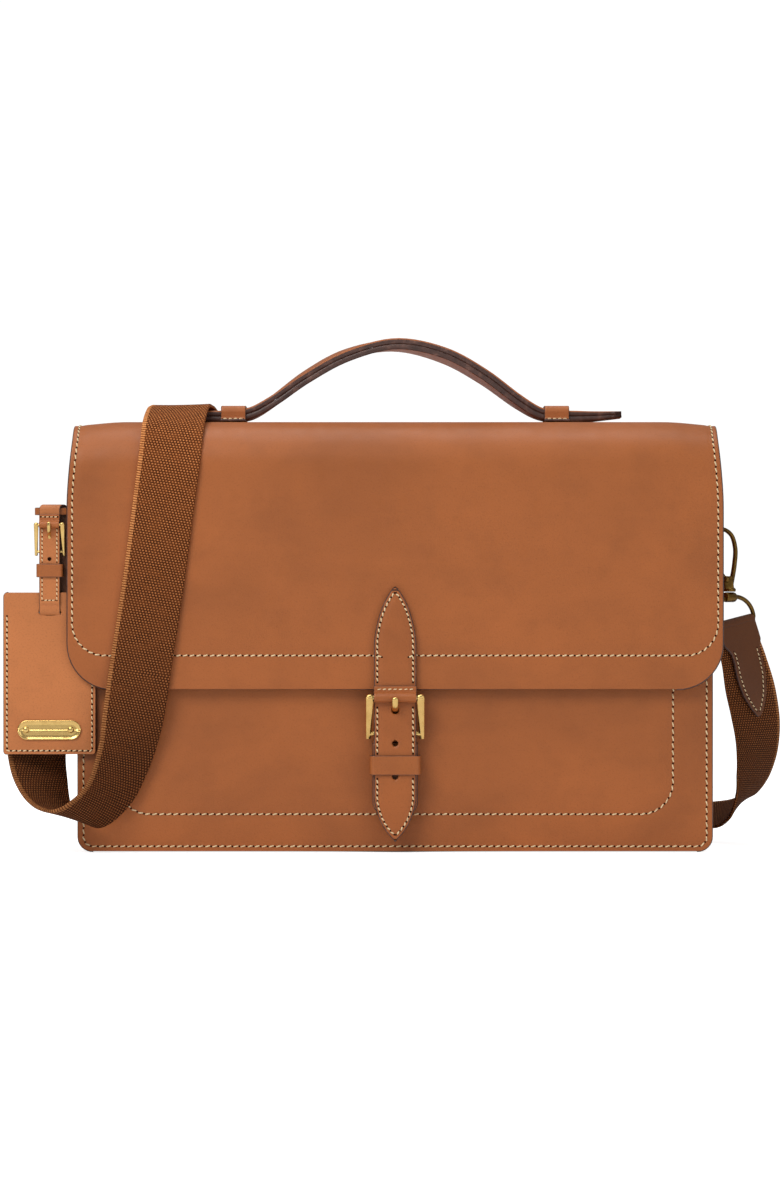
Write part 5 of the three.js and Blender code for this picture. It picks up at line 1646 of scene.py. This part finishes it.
def add_tag_buckle():
    """A small buckle with its leather roll and prong."""
    frame_shells = buckle_shells(TAG_BUCKLE)
    place("tag_buckle_cast", "case", "aged_brass", frame_shells, [MAT["brass"]], ["tag_buckle_frame"])
    wrap, face = wrap_shell(TAG_BUCKLE, 6.4, box_of("tag_strap")[0][1], 210.0, 0.75)
    place("tag_wrap_leather", "case", "saddle_leather", [wrap], BOTH_SIDES, ["tag_bar_wrap"])
    x = TAG_BUCKLE["x"]
    row = np.array([[x - 5.2, face + 0.05, 208.5], [x + 5.2, face + 0.05, 208.5]])
    sewing = stitching(row, (0, -1, 0), 2.6, 10, 0.32)
    place("tag_wrap_stitching", "case", "saddle_leather", [sewing], SEWING)
    corners = [(-48.2, 189.2), (-48.3, 191.8), (-49.6, 194.8), (-51.8, 197.6)]
    corners += [(-54.6, 199.9), (-55.9, 202.4), (-56, 204.6)]
    prong = prong_shell(TAG_BUCKLE, corners, 1.05, 0.75)
    place("tag_prong_cast", "tag_prong", "aged_brass", prong, [MAT["brass"]], ["tag_prong"])


def add_tag_loop():
    """A flat leather loop from the tag's strap round the front of the left ring."""
    front = [(-221.6, -47.05), (TAG_X, -47.05), (-207, -47.05), (-201.4, -45)]
    round_ring = [(-199.3, -38), (-198.9, -28), (-198.9, -20), (-199.8, -16.2), (-202.6, -15.1)]
    back = [(-205.6, -16.4), (-206.7, -22), (-209.5, -32), (-214, -40.4), (-220.6, -41.9), (-223.6, -44.4)]
    low, high = (corner[2] for corner in box_of("tag_loop"))
    path = spline(front + round_ring + back, np.linspace(0, 1, 141)[:-1], closed=True)
    heights = low + (high - low) * (columns(1, (0, 0.16, 0.4), 0.5) * 0.84 + 1) / 2
    grid = np.array([[(p[0], p[1], z) for z in heights] for p in path])
    loop = slab(grid, 1.35, closed=True)
    place("tag_loop_leather", "case", "saddle_leather", [loop], BOTH_SIDES, ["tag_loop"])


# ---- studio ----


def add_camera():
    """A long lens straight in front, as far off as the photographer probably stood."""
    camera = bpy.data.cameras.new("camera")
    camera.lens = 113.9
    camera.sensor_width = 36
    holder = bpy.data.objects.new("camera", camera)
    bpy.context.scene.collection.objects.link(holder)
    holder.location = CAMERA
    holder.rotation_euler = (math.pi / 2, 0, 0)
    bpy.context.scene.camera = holder


def area_light(name, spot, aim, size, power, colour=(1, 1, 1)):
    """A square light that points at a place."""
    light = bpy.data.lights.new(name, "AREA")
    light.shape = "SQUARE"
    light.size = size
    light.energy = power
    light.color = colour
    holder = bpy.data.objects.new(name, light)
    bpy.context.scene.collection.objects.link(holder)
    holder.location = spot
    holder.rotation_euler = (Vector(aim) - Vector(spot)).to_track_quat("-Z", "Y").to_euler()


def seen_by_camera(tree, low, high):
    """A number that is high for the rays that leave the camera and low for all others."""
    light_path = tree.nodes.new("ShaderNodeLightPath")
    strength = tree.nodes.new("ShaderNodeMapRange")
    strength.inputs["To Min"].default_value = low
    strength.inputs["To Max"].default_value = high
    tree.links.new(light_path.outputs["Is Camera Ray"], strength.inputs["Value"])
    return strength.outputs["Result"]


def add_floor():
    """White paper that keeps its brightness as far as the horizon."""
    floor = bpy.data.meshes.new("floor")
    floor.from_pydata([(-8, -8, 0), (8, -8, 0), (8, 8, 0), (-8, 8, 0)], [], [(0, 1, 2, 3)])
    paint = Nodes("floor_paper")
    floor.materials.append(paint.finish((0.93, 0.93, 0.93, 1), 0.9, None, Specular_IOR_Level=0.1))
    paint.shader.inputs["Emission Color"].default_value = (1, 1, 1, 1)
    paint.join(seen_by_camera(paint.tree, 0.0, FLOOR_GLOW), paint.shader.inputs["Emission Strength"])
    ground = bpy.data.objects.new("floor", floor)
    ground.location.z = -0.0004
    bpy.context.scene.collection.objects.link(ground)


def add_studio():
    """White floor and surroundings, and three soft lights."""
    add_floor()
    world = bpy.data.worlds.new("studio")
    bpy.context.scene.world = world
    world.use_nodes = True
    background = world.node_tree.nodes["Background"]
    background.inputs["Color"].default_value = (1, 1, 1, 1)
    glow = seen_by_camera(world.node_tree, WORLD_LIGHT, WORLD_SEEN)
    world.node_tree.links.new(glow, background.inputs["Strength"])
    area_light("key", (-0.85, -1.35, 1.3), (-0.02, 0, 0.17), 0.9, 17, (1, 0.985, 0.96))
    area_light("fill", (1.8, -2.2, 1.0), (0, 0, 0.12), 1.6, 9)
    area_light("top", (-0.1, -0.1, 2.4), (0, 0, 0.1), 1.4, 22)
    bpy.context.scene.view_settings.view_transform = "Standard"


add_camera()
add_studio()
add_webbing()
add_front()
add_flap()
add_back()
add_gusset()
add_lining()
add_divider()
add_slip_pocket()
add_closure_strap()
add_chape()
add_snap()
add_strap_keeper()
add_buckle()
add_handle()
add_handle_keeper("handle_keeper_left", -KEEPER_X)
add_handle_keeper("handle_keeper_right", KEEPER_X)
add_side_hardware()
add_strap_tab("right", 1)
add_strap_tab("left", -1)
add_tag()
add_tag_strap()
add_tag_buckle()
add_tag_loop()
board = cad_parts["bottom_board"]
board.data.materials.clear()
board.data.materials.append(MAT["board"])
